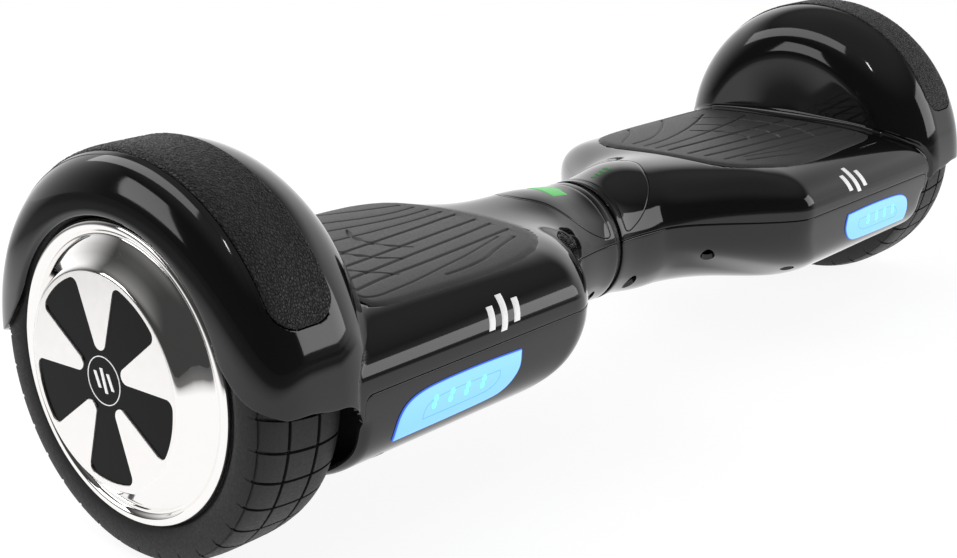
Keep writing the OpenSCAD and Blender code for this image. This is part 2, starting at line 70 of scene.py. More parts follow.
def sec(u, t):
    """Point (y, z) of the skin at distance u from the middle."""
    u, t = np.broadcast_arrays(np.asarray(u, float), np.asarray(t, float))
    p = spl(t)
    d = p - np.array([0, NZ])
    d /= np.linalg.norm(d, axis=-1, keepdims=True)
    c = np.array([0, NZ]) + d * neck(u)[..., None]
    th = np.minimum(np.abs(t), RN - np.abs(t))
    k = np.clip((th - 8.5) / 4.5, 0, 1)
    k = k * k * (3 - 2 * k)
    sy = sst(34 + 6 * k, 103 + 25 * k, u)
    sz = sst(22 + 18 * k, 92 + 36 * k, u)
    return np.stack([c[..., 0] * (1 - sy) + p[..., 0] * sy, c[..., 1] * (1 - sz) + p[..., 1] * sz], -1)


def wall_u(r):
    x = np.clip((np.asarray(r, float) - 20) / 42, 0, 1)
    flat = 212.6 + 2.4 * (1 - (1 - x) ** 2)
    arc = 248 - 33 * np.sqrt(np.clip(1 - (np.clip(r - 62, 0, None) / (FR - 62)) ** 2, 0, 1))
    return np.where(r <= 62, flat, arc)


def bspline_open(pts, n):
    p = np.array(pts, float)
    p = np.vstack([2 * p[0] - p[1], p, 2 * p[-1] - p[-2]])
    m = len(p) - 3
    t = np.linspace(0, m - 1e-9, n)
    i = t.astype(int)
    f = (t - i)[:, None]
    return ((1 - f) ** 3 * p[i] + (3 * f ** 3 - 6 * f ** 2 + 4) * p[i + 1] + (-3 * f ** 3 + 3 * f ** 2 + 3 * f + 1) * p[i + 2] + f ** 3 * p[i + 3]) / 6


# Outboard profile of the fender [u, r], from its crown to the lip around the wheel
FACE = bspline_open([[248, FR], [254, FR], [260, FR], [266, 93.4], [270, 93.1], [273.4, 92.4], [276.4, 91.2], [279.2, 89.2], [281.6, 86.2], [283.6, 82],
                     [285, 77.0], [285.65, 72.4], [285.9, 69.4], [285.75, 68.0], [285.2, 67.4], [284.6, 67.2]], 1500)
FS = np.concatenate([[0], np.cumsum(np.linalg.norm(np.diff(FACE, axis=0), axis=1))])
FS /= FS[-1]


def face_at(s):
    return np.interp(s, FS, FACE[:, 0]), np.interp(s, FS, FACE[:, 1])


def face_r(u):
    return np.interp(u, FACE[:1200, 0], FACE[:1200, 1])


# The lip opens away from the wheel low down: inner radius against the angle from the top
LIP_A = [0, 66, 69, 72, 75.7, 80.6, 84.3, 87.0, 88.6, 89.6, 90.5, 91.5, 93, 100]
LIP_R = [67.2, 67.2, 67.5, 68.3, 69.9, 73.0, 76.6, 81.2, 86.0, 89.2, 91.3, 92.6, 93.1, 93.1]


def seam_z(u):
    u = np.asarray(u, float)
    return SEAM - np.where(u > 231, 4 - np.sqrt(np.clip(16 - np.clip(u - 231, 0, 4) ** 2, 0, 16)), 0)


def arch_z(u):
    u = np.asarray(u, float)
    q = 65 + np.sqrt(np.clip(14.5 ** 2 - np.clip(249.5 - u, 0, 14.5) ** 2, 0, None))
    return np.where(u < 249.5, q, 79.5 + 2.9 * sst(249.5, 267, u))


# ------------------------------------------------------------------ mesh helpers
def vnormals(V, F):
    n = np.cross(V[F[:, 2]] - V[F[:, 0]], V[F[:, 3]] - V[F[:, 1]])
    out = np.zeros_like(V)
    for k in range(4):
        np.add.at(out, F[:, k], n)
    return out / np.maximum(np.linalg.norm(out, axis=1, keepdims=True), 1e-12)


def weld(V, F, tol=2e-4):
    key = np.round(V / tol).astype(np.int64)
    _, first, inv = np.unique(key, axis=0, return_index=True, return_inverse=True)
    inv = inv.reshape(-1)
    F = inv[F]
    V = V[first]
    a, b, c, d = F.T
    ok = ~((a == b) & (c == d)) & ~((b == c) & (d == a)) & ~((a == c)) & ~((b == d))
    return V, F[ok]


def thicken(V, F, th, r=0.45, steps=3):
    """Closes a skin to a shell of thickness th with rounded edges."""
    N = len(V)
    n = vnormals(V, F)
    E = np.concatenate([F[:, [0, 1]], F[:, [1, 2]], F[:, [2, 3]], F[:, [3, 0]]])
    E = E[E[:, 0] != E[:, 1]].astype(np.int64)
    B = E[~np.isin(E[:, 0] * N + E[:, 1], E[:, 1] * N + E[:, 0])]
    co = np.zeros_like(V)
    e = V[B[:, 1]] - V[B[:, 0]]
    e /= np.maximum(np.linalg.norm(e, axis=1, keepdims=True), 1e-9)
    for k in (0, 1):
        np.add.at(co, B[:, k], np.cross(e, n[B[:, k]]))
    idx = np.unique(B)
    m = np.full(N, -1)
    m[idx] = np.arange(len(idx))
    cb = co[idx] / np.maximum(np.linalg.norm(co[idx], axis=1, keepdims=True), 1e-9)
    nb, pb = n[idx], V[idx]
    loops = []
    for k in range(1, steps + 1):
        a = math.pi / 2 * k / steps
        loops.append(pb + cb * r * math.sin(a) - nb * r * (1 - math.cos(a)))
    loops.append(pb + cb * r - nb * th)
    allV = [V, V - n * th] + loops
    off = [N + N + i * len(idx) for i in range(len(loops))]
    a, b = B[:, 0], B[:, 1]
    ra, rb = m[a], m[b]
    faces = [F, F[:, ::-1] + N, np.stack([b, a, ra + off[0], rb + off[0]], 1)]
    for i in range(len(loops) - 1):
        faces.append(np.stack([rb + off[i], ra + off[i], ra + off[i + 1], rb + off[i + 1]], 1))
    faces.append(np.stack([rb + off[-1], ra + off[-1], a + N, b + N], 1))
    return np.vstack(allV), np.vstack(faces)


def grid_faces(nr, nc, off=0, wrap=False):
    i = np.arange(nr - 1)[:, None]
    j = np.arange(nc if wrap else nc - 1)[None, :]
    j2 = (j + 1) % nc
    a = (i * nc + j).ravel()
    b = (i * nc + j2).ravel()
    c = ((i + 1) * nc + j2).ravel()
    d = ((i + 1) * nc + j).ravel()
    return np.stack([a, b, c, d], 1) + off


def flipx(V, F, s):
    if s < 0:
        V = V * np.array([-1, 1, 1])
        F = F[:, ::-1]
    return V, F


def build(name, V, F, mat, smooth=True, angle=None):
    """A mesh object from points in mm and quads (a repeated corner makes a triangle)."""
    me = bpy.data.meshes.new(name)
    polys = []
    for f in F.tolist():
        g = [f[0]]
        for v in f[1:]:
            if v != g[-1]:
                g.append(v)
        if g[0] == g[-1]:
            g.pop()
        if len(g) > 2:
            polys.append(g)
    me.from_pydata((V * MM).tolist(), [], polys)
    me.validate()
    me.materials.append(mat)
    me.polygons.foreach_set("use_smooth", [smooth] * len(me.polygons))
    me.update()
    o = bpy.data.objects.new(name, me)
    bpy.context.scene.collection.objects.link(o)
    if angle:
        me.set_sharp_from_angle(angle=math.radians(angle))
    return o


def outward(V, F):
    """Turns a closed surface so that its faces look out."""
    p = V[F]
    vol = np.einsum("ij,ij->i", p[:, 0], np.cross(p[:, 1], p[:, 2])) + np.einsum("ij,ij->i", p[:, 0], np.cross(p[:, 2], p[:, 3]))
    return F if vol.sum() > 0 else F[:, ::-1]


def revolve(prof, n, centre_z, closed=True):
    """Surface about the X axis through z = centre_z; prof is [u, r]."""
    prof = np.array(prof, float)
    a = np.linspace(0, 2 * math.pi, n, endpoint=False)
    u = np.repeat(prof[:, 0][:, None], n, 1)
    y = prof[:, 1][:, None] * np.sin(a)
    z = prof[:, 1][:, None] * np.cos(a) + centre_z
    V = np.stack([u, y, z], -1).reshape(-1, 3)
    m = len(prof)
    F = grid_faces(m, n, 0, True)
    if closed:
        j = np.arange(n)
        j2 = (j + 1) % n
        F = np.vstack([F, np.stack([(m - 1) * n + j, (m - 1) * n + j2, j2, j], 1)])
    V, F = weld(V, F)
    return V, outward(V, F)


def catmull(pts, n):
    p = np.array(pts, float)
    p = np.vstack([2 * p[0] - p[1], p, 2 * p[-1] - p[-2]])
    m = len(p) - 3
    t = np.linspace(0, m - 1e-9, n)
    i = t.astype(int)
    f = (t - i)[:, None]
    a, b, c, d = p[i], p[i + 1], p[i + 2], p[i + 3]
    return 0.5 * (2 * b + (c - a) * f + (2 * a - 5 * b + 4 * c - d) * f ** 2 + (3 * b - a - 3 * c + d) * f ** 3)


def seg_dist(X, Y, line):
    """Least distance from points to a polyline."""
    best = np.full(X.shape, 1e9)
    for (x0, y0), (x1, y1) in zip(line[:-1], line[1:]):
        dx, dy = x1 - x0, y1 - y0
        L = dx * dx + dy * dy + 1e-12
        t = np.clip(((X - x0) * dx + (Y - y0) * dy) / L, 0, 1)
        best = np.minimum(best, np.hypot(X - x0 - t * dx, Y - y0 - t * dy))
    return best


# ------------------------------------------------------------------ materials
def nodes_of(name):
    m = bpy.data.materials.new(name)
    m.use_nodes = True
    nt = m.node_tree
    for n in list(nt.nodes):
        nt.nodes.remove(n)
    out = nt.nodes.new("ShaderNodeOutputMaterial")
    b = nt.nodes.new("ShaderNodeBsdfPrincipled")
    nt.links.new(b.outputs[0], out.inputs[0])
    co = nt.nodes.new("ShaderNodeTexCoord")
    return m, nt, b, co


def add(nt, kind, **kw):
    n = nt.nodes.new(kind)
    for k, v in kw.items():
        if k in n.inputs.keys():
            n.inputs[k].default_value = v
        else:
            setattr(n, k, v)
    return n


def ramp(nt, fac, lo, hi, a, b):
    m = add(nt, "ShaderNodeMapRange")
    m.inputs["From Min"].default_value = lo
    m.inputs["From Max"].default_value = hi
    m.inputs["To Min"].default_value = a
    m.inputs["To Max"].default_value = b
    nt.links.new(fac, m.inputs["Value"])
    return m.outputs[0]


def bump(nt, b, height, strength, dist):
    n = add(nt, "ShaderNodeBump")
    n.inputs["Strength"].default_value = strength
    n.inputs["Distance"].default_value = dist
    nt.links.new(height, n.inputs["Height"])
    nt.links.new(n.outputs[0], b.inputs["Normal"])
    return n


def colour_mix(nt, fac, c1, c2):
    m = add(nt, "ShaderNodeMix", data_type="RGBA")
    m.inputs[6].default_value = (*c1, 1)
    m.inputs[7].default_value = (*c2, 1)
    nt.links.new(fac, m.inputs[0])
    return m.outputs[2]


def plain(name, col, rough, metal=0.0, scale=900, var=0.06, bmp=0.03, spec=0.5, coat=0.0, dirt=0.12, emit=0.0):
    """Moulded, cast or plated finish: broad colour drift, fine roughness grain and a fine relief; emit adds a painted
    glow, so that the part shines by itself like a lamp.
    """
    m, nt, b, co = nodes_of(name)
    big = add(nt, "ShaderNodeTexNoise", Scale=18.0, Detail=4.0)
    fine = add(nt, "ShaderNodeTexNoise", Scale=float(scale), Detail=3.0)
    for t in (big, fine):
        nt.links.new(co.outputs["Object"], t.inputs["Vector"])
    c2 = tuple(min(1, c * (1 + dirt) + 0.002) for c in col)
    nt.links.new(colour_mix(nt, big.outputs["Fac"], tuple(c * (1 - dirt) for c in col), c2), b.inputs["Base Color"])
    nt.links.new(ramp(nt, fine.outputs["Fac"], 0.3, 0.7, max(0.0, rough - var), rough + var), b.inputs["Roughness"])
    b.inputs["Metallic"].default_value = metal
    b.inputs["Specular IOR Level"].default_value = spec
    b.inputs["Coat Weight"].default_value = coat
    # emission: a painted glow of strength emit in the part's own colour (none unless emit is set)
    b.inputs["Emission Color"].default_value = (*col, 1)
    b.inputs["Emission Strength"].default_value = emit
    b.inputs["Coat Roughness"].default_value = 0.04
    if bmp:
        bump(nt, b, fine.outputs["Fac"], bmp, 0.0002)
    return m


def gloss_black(name, base=0.014, rough=0.05, spec=0.5):
    m, nt, b, co = nodes_of(name)
    peel = add(nt, "ShaderNodeTexNoise", Scale=95.0, Detail=2.0)
    smear = add(nt, "ShaderNodeTexNoise", Scale=14.0, Detail=6.0)
    dust = add(nt, "ShaderNodeTexVoronoi", Scale=520.0)
    for t in (peel, smear, dust):
        nt.links.new(co.outputs["Object"], t.inputs["Vector"])
    nt.links.new(ramp(nt, smear.outputs["Fac"], 0.35, 0.75, rough, rough + 0.05), b.inputs["Roughness"])
    nt.links.new(colour_mix(nt, ramp(nt, dust.outputs["Distance"], 0.0, 0.06, 0.25, 0.0), (base, base, base * 1.05), (base * 2.2,) * 3), b.inputs["Base Color"])
    b.inputs["Specular IOR Level"].default_value = spec
    bump(nt, b, peel.outputs["Fac"], 0.05, 0.00012)
    return m


def leather(name):
    m, nt, b, co = nodes_of(name)
    mp = add(nt, "ShaderNodeMapping")
    mp.inputs["Scale"].default_value = (1.0, 0.55, 0.8)
    nt.links.new(co.outputs["Object"], mp.inputs["Vector"])
    v = add(nt, "ShaderNodeTexVoronoi", feature="DISTANCE_TO_EDGE", Scale=850.0)
    n = add(nt, "ShaderNodeTexNoise", Scale=2600.0, Detail=3.0)
    nt.links.new(mp.outputs[0], v.inputs["Vector"])
    nt.links.new(mp.outputs[0], n.inputs["Vector"])
    h = ramp(nt, v.outputs["Distance"], 0.0, 0.22, 0.0, 1.0)
    nt.links.new(colour_mix(nt, h, (0.002, 0.002, 0.002), (0.045, 0.045, 0.046)), b.inputs["Base Color"])
    nt.links.new(ramp(nt, n.outputs["Fac"], 0.3, 0.7, 0.38, 0.62), b.inputs["Roughness"])
    b.inputs["Specular IOR Level"].default_value = 0.45
    bump(nt, b, h, 1.0, 0.0006)
    return m


def rubber(name, col=0.05, rough=0.62, scale=1400.0, spec=0.4):
    m, nt, b, co = nodes_of(name)
    n = add(nt, "ShaderNodeTexNoise", Scale=scale, Detail=4.0)
    w = add(nt, "ShaderNodeTexNoise", Scale=30.0, Detail=5.0)
    for t in (n, w):
        nt.links.new(co.outputs["Object"], t.inputs["Vector"])
    nt.links.new(colour_mix(nt, w.outputs["Fac"], (col * 0.8,) * 3, (col * 1.25, col * 1.25, col * 1.27)), b.inputs["Base Color"])
    nt.links.new(ramp(nt, n.outputs["Fac"], 0.3, 0.7, rough - 0.1, rough + 0.1), b.inputs["Roughness"])
    b.inputs["Specular IOR Level"].default_value = spec
    bump(nt, b, n.outputs["Fac"], 0.25, 0.0003)
    return m


def glow(name, c1, c2, power, rough=0.35):
    m, nt, b, co = nodes_of(name)
    sep = add(nt, "ShaderNodeSeparateXYZ")
    n = add(nt, "ShaderNodeTexNoise", Scale=400.0, Detail=2.0)
    nt.links.new(co.outputs["Object"], sep.inputs[0])
    nt.links.new(co.outputs["Object"], n.inputs["Vector"])
    col = colour_mix(nt, ramp(nt, sep.outputs["Z"], 0.050, 0.074, 0.0, 1.0), c1, c2)
    nt.links.new(col, b.inputs["Emission Color"])
    b.inputs["Emission Strength"].default_value = power
    b.inputs["Base Color"].default_value = (*[0.3 * c for c in c1], 1)
    nt.links.new(ramp(nt, n.outputs["Fac"], 0.3, 0.7, rough, rough + 0.02), b.inputs["Roughness"])
    b.inputs["Specular IOR Level"].default_value = 0.12
    return m


M = {
    "shell": gloss_black("shell_gloss_black", 0.0075),
    "shell_in": plain("shell_inner_matte", (0.01, 0.01, 0.01), 0.6),
    "strip": leather("leather_grain_rubber"),
    "pad": rubber("pad_rubber", 0.055, 0.5),
    "tyre": rubber("tyre_rubber", 0.020, 0.55, 900.0, 0.25),
    "seal": rubber("seal_rubber", 0.008, 0.35),
    "chrome": plain("bright_chrome", (0.93, 0.915, 0.90), 0.05, 1.0, 300, 0.02, 0.0, dirt=0.01),
    "face": plain("satin_bright_face", (0.95, 0.93, 0.915), 0.32, 1.0, 300, 0.03, 0.0, dirt=0.01),
    "inlay": gloss_black("inlay_black", 0.003, 0.2, 0.07),
    "display": gloss_black("display_black", 0.006, 0.03),
    # white print: colour 0.85 plus a painted glow (emission 0.4) that keeps it bright whatever light falls on it
    "white": plain("white_print_painted_glow", (0.85, 0.85, 0.85), 0.35, dirt=0.02, emit=0.4),
    "green": glow("green_light", (0.10, 0.42, 0.12), (0.10, 0.42, 0.12), 1.1),
    "dim_green": glow("dim_green_light", (0.02, 0.13, 0.03), (0.02, 0.13, 0.03), 1.0),
    "lamp": glow("lamp_blue", (0.24, 0.57, 1.0), (0.33, 0.72, 1.0), 1.0),
    "lamp_edge": glow("lamp_edge_blue", (0.06, 0.16, 0.85), (0.08, 0.2, 0.9), 0.9),
    "lamp_line": glow("lamp_line_blue", (0.13, 0.40, 0.82), (0.17, 0.48, 0.88), 1.0),
    "led": glow("led_cyan", (0.26, 1.0, 0.97), (0.26, 1.0, 0.97), 1.1),
    "void": plain("void_black", (0.003, 0.003, 0.003), 0.8, spec=0.1),
    "alloy": plain("cast_alloy", (0.55, 0.55, 0.57), 0.38, 1.0, 1200, 0.1, 0.2),
    "steel": plain("ground_steel", (0.5, 0.5, 0.52), 0.25, 1.0, 700, 0.08, 0.05),
    "dark_steel": plain("black_oxide", (0.05, 0.05, 0.055), 0.35, 0.9, 700, 0.08, 0.05),
    "magnet": plain("nickel_magnet", (0.62, 0.61, 0.58), 0.2, 1.0, 700, 0.05, 0.02),
    "lamination": plain("lamination_steel", (0.22, 0.21, 0.2), 0.45, 0.9, 1500, 0.1, 0.2),
    "copper": plain("enamel_copper", (0.72, 0.33, 0.12), 0.3, 1.0, 1500, 0.08, 0.3),
    "bronze": plain("sintered_bronze", (0.55, 0.38, 0.15), 0.4, 1.0, 1500, 0.08, 0.2),
    "board": plain("green_laminate", (0.02, 0.16, 0.07), 0.35, 0.0, 900, 0.08, 0.1, dirt=0.3),
    "wrap": plain("blue_wrap", (0.03, 0.10, 0.38), 0.3, 0.0, 200, 0.08, 0.1),
    "button": plain("satin_black_plastic", (0.03, 0.03, 0.032), 0.35, 0.0, 2200, 0.08, 0.25),
}
SLOT_MAT = {"shell_black": "shell", "strip_rubber": "strip", "pad_rubber": "pad", "lamp_blue": "lamp", "circuit_board": "board", "display_black": "display",
            "tyre": "tyre", "hub_alloy": "alloy", "trim_chrome": "chrome", "inlay_black": "inlay", "steel": "steel", "magnet_steel": "magnet",
            "lamination_steel": "lamination", "copper": "copper", "frame_alloy": "alloy", "dark_steel": "dark_steel", "bronze": "bronze", "seal_rubber": "seal",
            "battery_wrap": "wrap", "port_metal": "steel", "cap_rubber": "seal", "button_black": "button"}
for sp in frame["record"]["subparts"]:
    o = frame["nodes"][sp["node"]]
    for s in o.material_slots:
        s.material = M[SLOT_MAT[sp["material_slot"]]]
    o.data.polygons.foreach_set("use_smooth", [True] * len(o.data.polygons))

# ------------------------------------------------------------------ upper shell
PAD = [[80.4, 18], [81, 34], [83.6, 45], [87.2, 52], [93, 58.4], [102, 64.4], [113, 67.8], [124, 69.6], [136, 70.6], [150, 70.6], [169, 69.4], [181, 69], [193, 68.6], [200, 67.6], [204, 66], [206.5, 63.6]]
PU, PW = [p[0] for p in PAD], [p[1] for p in PAD]
PAD_END = 206.2


def axis_list(*segs):
    out = []
    for a, b, step in segs:
        n = max(1, int(round((b - a) / step)))
        out += list(np.linspace(a, b, n, endpoint=False))
    out.append(segs[-1][1])
    return np.array(out)


T_IN = axis_list((0, 1, 0.04), (1, 2.5, 0.06), (2.5, 4.1, 0.034), (4.1, 6.0, 0.08))
SIG = np.linspace(0, 1, 15)[1:]
B200 = None


def wall_base(t):
    b = sec(200.0, t)
    d = b - np.array([0, AZ])
    r = np.linalg.norm(d, axis=-1)
    return b, d / r[..., None], r, np.minimum(5.5, (FR - r) * 0.55)


def row_u(u):
    def f(t):
        p = sec(u, t)
        return np.stack([np.full(p.shape[:-1], u), p[..., 0], p[..., 1]], -1)
    return f


def row_run(w):
    def f(t):
        b, d, r, fl = wall_base(t)
        u = 200 + (wall_u(r + fl) - fl - 200) * w
        return np.stack([u, b[..., 0], b[..., 1]], -1)
    return f


def row_fil(q):
    def f(t):
        b, d, r, fl = wall_base(t)
        a = q * math.pi / 2
        rr = r + fl * (1 - math.cos(a))
        u = wall_u(r + fl) - fl * (1 - math.sin(a))
        return np.stack([u, d[..., 0] * rr, AZ + d[..., 1] * rr], -1)
    return f


def row_wall(q):
    def f(t):
        b, d, r, fl = wall_base(t)
        r0 = r + fl
        x = (r0 - 62) / (FR - 62)
        v0 = np.where(x > 0, np.arcsin(np.clip(x, 0, 1)), x)
        v = v0 + (math.pi / 2 - v0) * q
        rr = 62 + (FR - 62) * np.where(v > 0, np.sin(np.clip(v, 0, math.pi / 2)), v)
        return np.stack([wall_u(rr), d[..., 0] * rr, AZ + d[..., 1] * rr], -1)
    return f


S0 = float(np.interp(268.0, FACE[:1200, 0], FS[:1200]))
STRIP_U, STRIP_H, STRIP_S, STRIP_C = 258.9, 15.6, FR * math.radians(70.2), 12.0


def strip_sd(u, s):
    """Signed distance to the edge of the grip strip's rounded rectangle; below zero is inside."""
    x = np.abs(u - STRIP_U) - (STRIP_H - STRIP_C)
    y = np.abs(s) - (STRIP_S - STRIP_C)
    return np.minimum(np.maximum(x, y), 0) + np.hypot(np.clip(x, 0, None), np.clip(y, 0, None)) - STRIP_C


N_RUN, N_FIL, N_WALL = 4, 9, 35
U_SIDE = np.concatenate([np.linspace(203, 228, 22), np.linspace(229, 235.25, 10), [235.5, 235.9, 236.4, 237, 237.7, 238.5, 239.4, 240.4, 241.5, 242.7, 243.9, 245.1, 246.2, 247.2, 248]])
PROFILES = {}


def profile(t):
    """Points [u, r] of the skin from u = 200 out to the crown at ring position t, with the arc length along them."""
    key = round(float(t), 6)
    if key not in PROFILES:
        b, d, r, fl = wall_base(np.array([float(t)]))
        r, fl = float(r[0]), float(fl[0])
        u0 = float(wall_u(r + fl))
        x = (r + fl - 62) / (FR - 62)
        v0 = math.asin(min(1.0, x)) if x > 0 else x
        a = np.linspace(0, math.pi / 2, 13)
        fu, fr = u0 - fl * (1 - np.sin(a)), r + fl * (1 - np.cos(a))
        v = v0 + (math.pi / 2 - v0) * np.linspace(0, 1, 90)[1:]
        wr = 62 + (FR - 62) * np.where(v > 0, np.sin(np.clip(v, 0, math.pi / 2)), v)
        ru = np.linspace(200, fu[0], 5)[:-1]
        pu = np.concatenate([ru, fu, wall_u(wr)])
        pr = np.concatenate([np.full(4, r), fr, wr])
        pl = np.concatenate([[0], np.cumsum(np.hypot(np.diff(pu), np.diff(pr)))])
        q = np.concatenate([pl[4] * np.linspace(0, 1, N_RUN + 1)[1:-1], np.interp(np.linspace(0, 12, N_FIL), np.arange(13), pl[4:17]),
                            pl[16] + (pl[-1] - pl[16]) * np.linspace(0, 1, N_WALL + 1)[1:]])
        lu = np.interp(U_SIDE, np.maximum.accumulate(pu) + np.arange(len(pu)) * 1e-9, pl)
        PROFILES[key] = (pu, pr, pl, q, lu)
    return PROFILES[key]


def row_mix(i):
    """Row i of the outboard end: even along the profile over the deck, at set distances down the sides."""
    def f(t):
        t = np.atleast_1d(np.asarray(t, float))
        b, d, r, fl = wall_base(t)
        uu, rr = np.zeros(len(t)), np.zeros(len(t))
        for k, tk in enumerate(t):
            pu, pr, pl, q, lu = profile(abs(tk))
            be = float(sst(5.0, 6.8, abs(tk)))
            L = q[i] * (1 - be) + lu[i] * be
            uu[k], rr[k] = np.interp(L, pl, pu), np.interp(L, pl, pr)
        return np.stack([uu, d[..., 0] * rr, AZ + d[..., 1] * rr], -1)
    return f


def row_face(s):
    def f(t):
        b, d, r, fl = wall_base(t)
        ang = np.degrees(np.arctan2(np.abs(d[..., 0]), d[..., 1]))
        rin = np.interp(ang, LIP_A, LIP_R)
        smax = np.interp(-rin, -FACE[:, 1][300:], FS[300:])
        ss = np.where(s <= S0, s, S0 + (s - S0) * (np.maximum(smax, S0 + 1e-4) - S0) / (1 - S0))
        u, rr = face_at(ss)
        sd = strip_sd(u, FR * np.radians(ang))
        rr = rr - 1.1 * (1 - sst(-0.16, 0.16, sd)) * (s < 0.95)
        return np.stack([u, d[..., 0] * rr, AZ + d[..., 1] * rr], -1)
    return f


def solve(row, edge):
    t = np.linspace(6.9, 10.6, 149)
    p = row(t)
    g = p[:, 2] - edge(p[:, 0])
    k = int(np.argmax(g < 0))
    if k == 0:
        return t[-1] if g[0] > 0 else t[0]
    return t[k - 1] + (t[k] - t[k - 1]) * g[k - 1] / (g[k - 1] - g[k])


def upper_skin():
    fs = lambda u: float(np.interp(u, FACE[:1200, 0], FS[:1200]))
    ru = axis_list((2.5, 70, 1.8), (70, 140, 2.0), (140, 200, 3.0))
    rows = [row_u(u) for u in ru]
    n_mix = len(U_SIDE)
    rows += [row_mix(k) for k in range(n_mix)]
    nA = len(ru) + N_RUN - 1
    n_joint = len(ru) + int(np.argmin(np.abs(U_SIDE - 235.25)))
    e1, e2 = STRIP_U - STRIP_H, STRIP_U + STRIP_H
    near = [-0.6, -0.35, -0.2, -0.12, -0.06, 0.0, 0.06, 0.12, 0.2, 0.35, 0.6]
    ue = sorted(set(list(np.linspace(e1 + 0.9, e1 + 13, 26)) + list(np.linspace(e2 - 13, e2 - 0.9, 26)) + [e1 + d for d in near] + [e2 + d for d in near]))
    se = [fs(u) for u in ue]
    s_end = se[-1]
    se += list(s_end + (1 - s_end) * np.linspace(0, 1, 40)[1:])
    se = sorted(se)
    rows += [row_face(s) for s in se]
    lo = lambda u: np.maximum(seam_z(u), np.where(u > 235.3, arch_z(u), 0))
    lo2 = lambda u: np.where(u > 234.0, arch_z(u), 65.0)
    V, spur = [], []
    for i, row in enumerate(rows):
        ta = solve(row, (lambda u: lo(u) + 0.45))
        half = np.concatenate([T_IN, 6.0 + (ta - 6.0) * SIG])
        t = np.concatenate([-half[:0:-1], half])
        p = row(t)
        if i < nA:
            u, y = p[:, 0], np.abs(p[:, 1])
            m = np.minimum(np.minimum(np.interp(u, PU, PW) - y, (u - 80.4) * 1.0), 206.9 - u)
            p[:, 2] -= 1.3 * np.clip((m - 1.3) / 0.9, 0, 1) * (p[:, 2] > 90)
        V.append(p)
        if i >= n_joint:
            tb = max(solve(row, (lambda u: arch_z(np.maximum(u, 235.26)) + 0.45)), ta)
            spur.append((row, ta, tb))
    V = np.array(V)
    nr, nc = V.shape[:2]
    VV = [V.reshape(-1, 3)]
    FF = [grid_faces(nr, nc)]
    off = nr * nc
    k = 11
    for sgn in (1, -1):
        S = []
        for row, ta, tb in spur:
            q = row(ta + (tb - ta) * np.linspace(0, 1, k))
            S.append(q * np.array([1, sgn, 1]))
        S = np.array(S)
        f = grid_faces(len(S), k, off)
        FF.append(f if sgn > 0 else f[:, ::-1])
        VV.append(S.reshape(-1, 3))
        off += len(S) * k
    V, F = weld(np.vstack(VV), np.vstack(FF))
    n = vnormals(V, F)
    i = int(np.argmax(V[:, 2]))
    if n[i, 2] < 0:
        F = F[:, ::-1]
    return V, F


def lower_skin():
    us = axis_list((2.5, 70, 1.8), (70, 130, 2.0), (130, 230, 4.0))
    T, V = [], []
    SG = np.linspace(0, 1, 190)
    for u in us:
        tt = solve(row_u(u), lambda x: seam_z(x) - 0.7)
        p = row_u(u)(tt + (RN - 2 * tt) * SG)
        V.append(p)
    for a in np.linspace(0, 90, 8)[1:]:
        u = 230 + 4 * math.sin(math.radians(a))
        w = 3.4 * (1 - math.cos(math.radians(a)))
        u = 230 + 4.6 * math.sin(math.radians(a))
        tt = solve(row_u(200.0), lambda x: float(seam_z(u)) - 0.7)
        t = tt + (RN - 2 * tt) * SG
        p = sec(200.0, t)
        d = sec(200.0, t + 0.02) - sec(200.0, t - 0.02)
        d /= np.linalg.norm(d, axis=-1, keepdims=True)
        p = p + (w * (1 - sst(62, 70, p[:, 1])))[:, None] * np.stack([d[:, 1], -d[:, 0]], -1)
        V.append(np.stack([np.full(len(t), u), p[:, 0], p[:, 1]], -1))
    V = np.array(V)
    nr, nc = V.shape[:2]
    F = grid_faces(nr, nc)
    V = V.reshape(-1, 3)
    n = vnormals(V, F)
    i = int(np.argmin(V[:, 2]))
    if n[i, 2] > 0:
        F = F[:, ::-1]
    return V, F


def cutter(name, verts_faces):
    V, F = verts_faces
    return build(name, V, F, M["void"], smooth=False)


def cyl(x, y, z0, z1, r, axis="z", n=40, z=0.0):
    a = np.linspace(0, 2 * math.pi, n, endpoint=False)
    c, s = r * np.cos(a), r * np.sin(a)
    if axis == "z":
        rings = [np.stack([x + c, y + s, np.full(n, q)], -1) for q in (z0, z1)]
        mid = [np.array([x, y, q]) for q in (z0, z1)]
    else:
        rings = [np.stack([x + c, np.full(n, q), z + s], -1) for q in (z0, z1)]
        mid = [np.array([x, q, z]) for q in (z0, z1)]
    V = np.vstack(rings + [np.array(mid)])
    F = list(map(list, grid_faces(2, n, 0, True)))
    for k, base in ((0, 0), (1, n)):
        for j in range(n):
            j2 = (j + 1) % n
            F.append([base + j, base + j2, 2 * n + k, 2 * n + k] if k else [base + j2, base + j, 2 * n + k, 2 * n + k])
    F = np.array(F)
    return V, outward(V, F)


def join_vf(items):
    V, F, off = [], [], 0
    for v, f in items:
        V.append(v)
        F.append(f + off)
        off += len(v)
    return np.vstack(V), np.vstack(F)


def boolean(o, c, op="DIFFERENCE"):
    m = o.modifiers.new("cut", "BOOLEAN")
    m.operation = op
    m.object = c
    m.solver = "MANIFOLD"
    n0 = len(o.data.polygons)
    dg = bpy.context.evaluated_depsgraph_get()
    me = bpy.data.meshes.new_from_object(o.evaluated_get(dg))
    if len(me.polygons) < 10:
        m.solver = "EXACT"
        dg = bpy.context.evaluated_depsgraph_get()
        me = bpy.data.meshes.new_from_object(o.evaluated_get(dg))
    o.modifiers.clear()
    old = o.data
    o.data = me
    me.name = old.name
    bpy.data.meshes.remove(old)
    bpy.data.objects.remove(c)
    print("cut", o.name, n0, "->", len(me.polygons))


def finish_piece(o, body, slot, *nodes):
    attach(o, body)
    if nodes:
        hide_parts(*nodes)
    return o


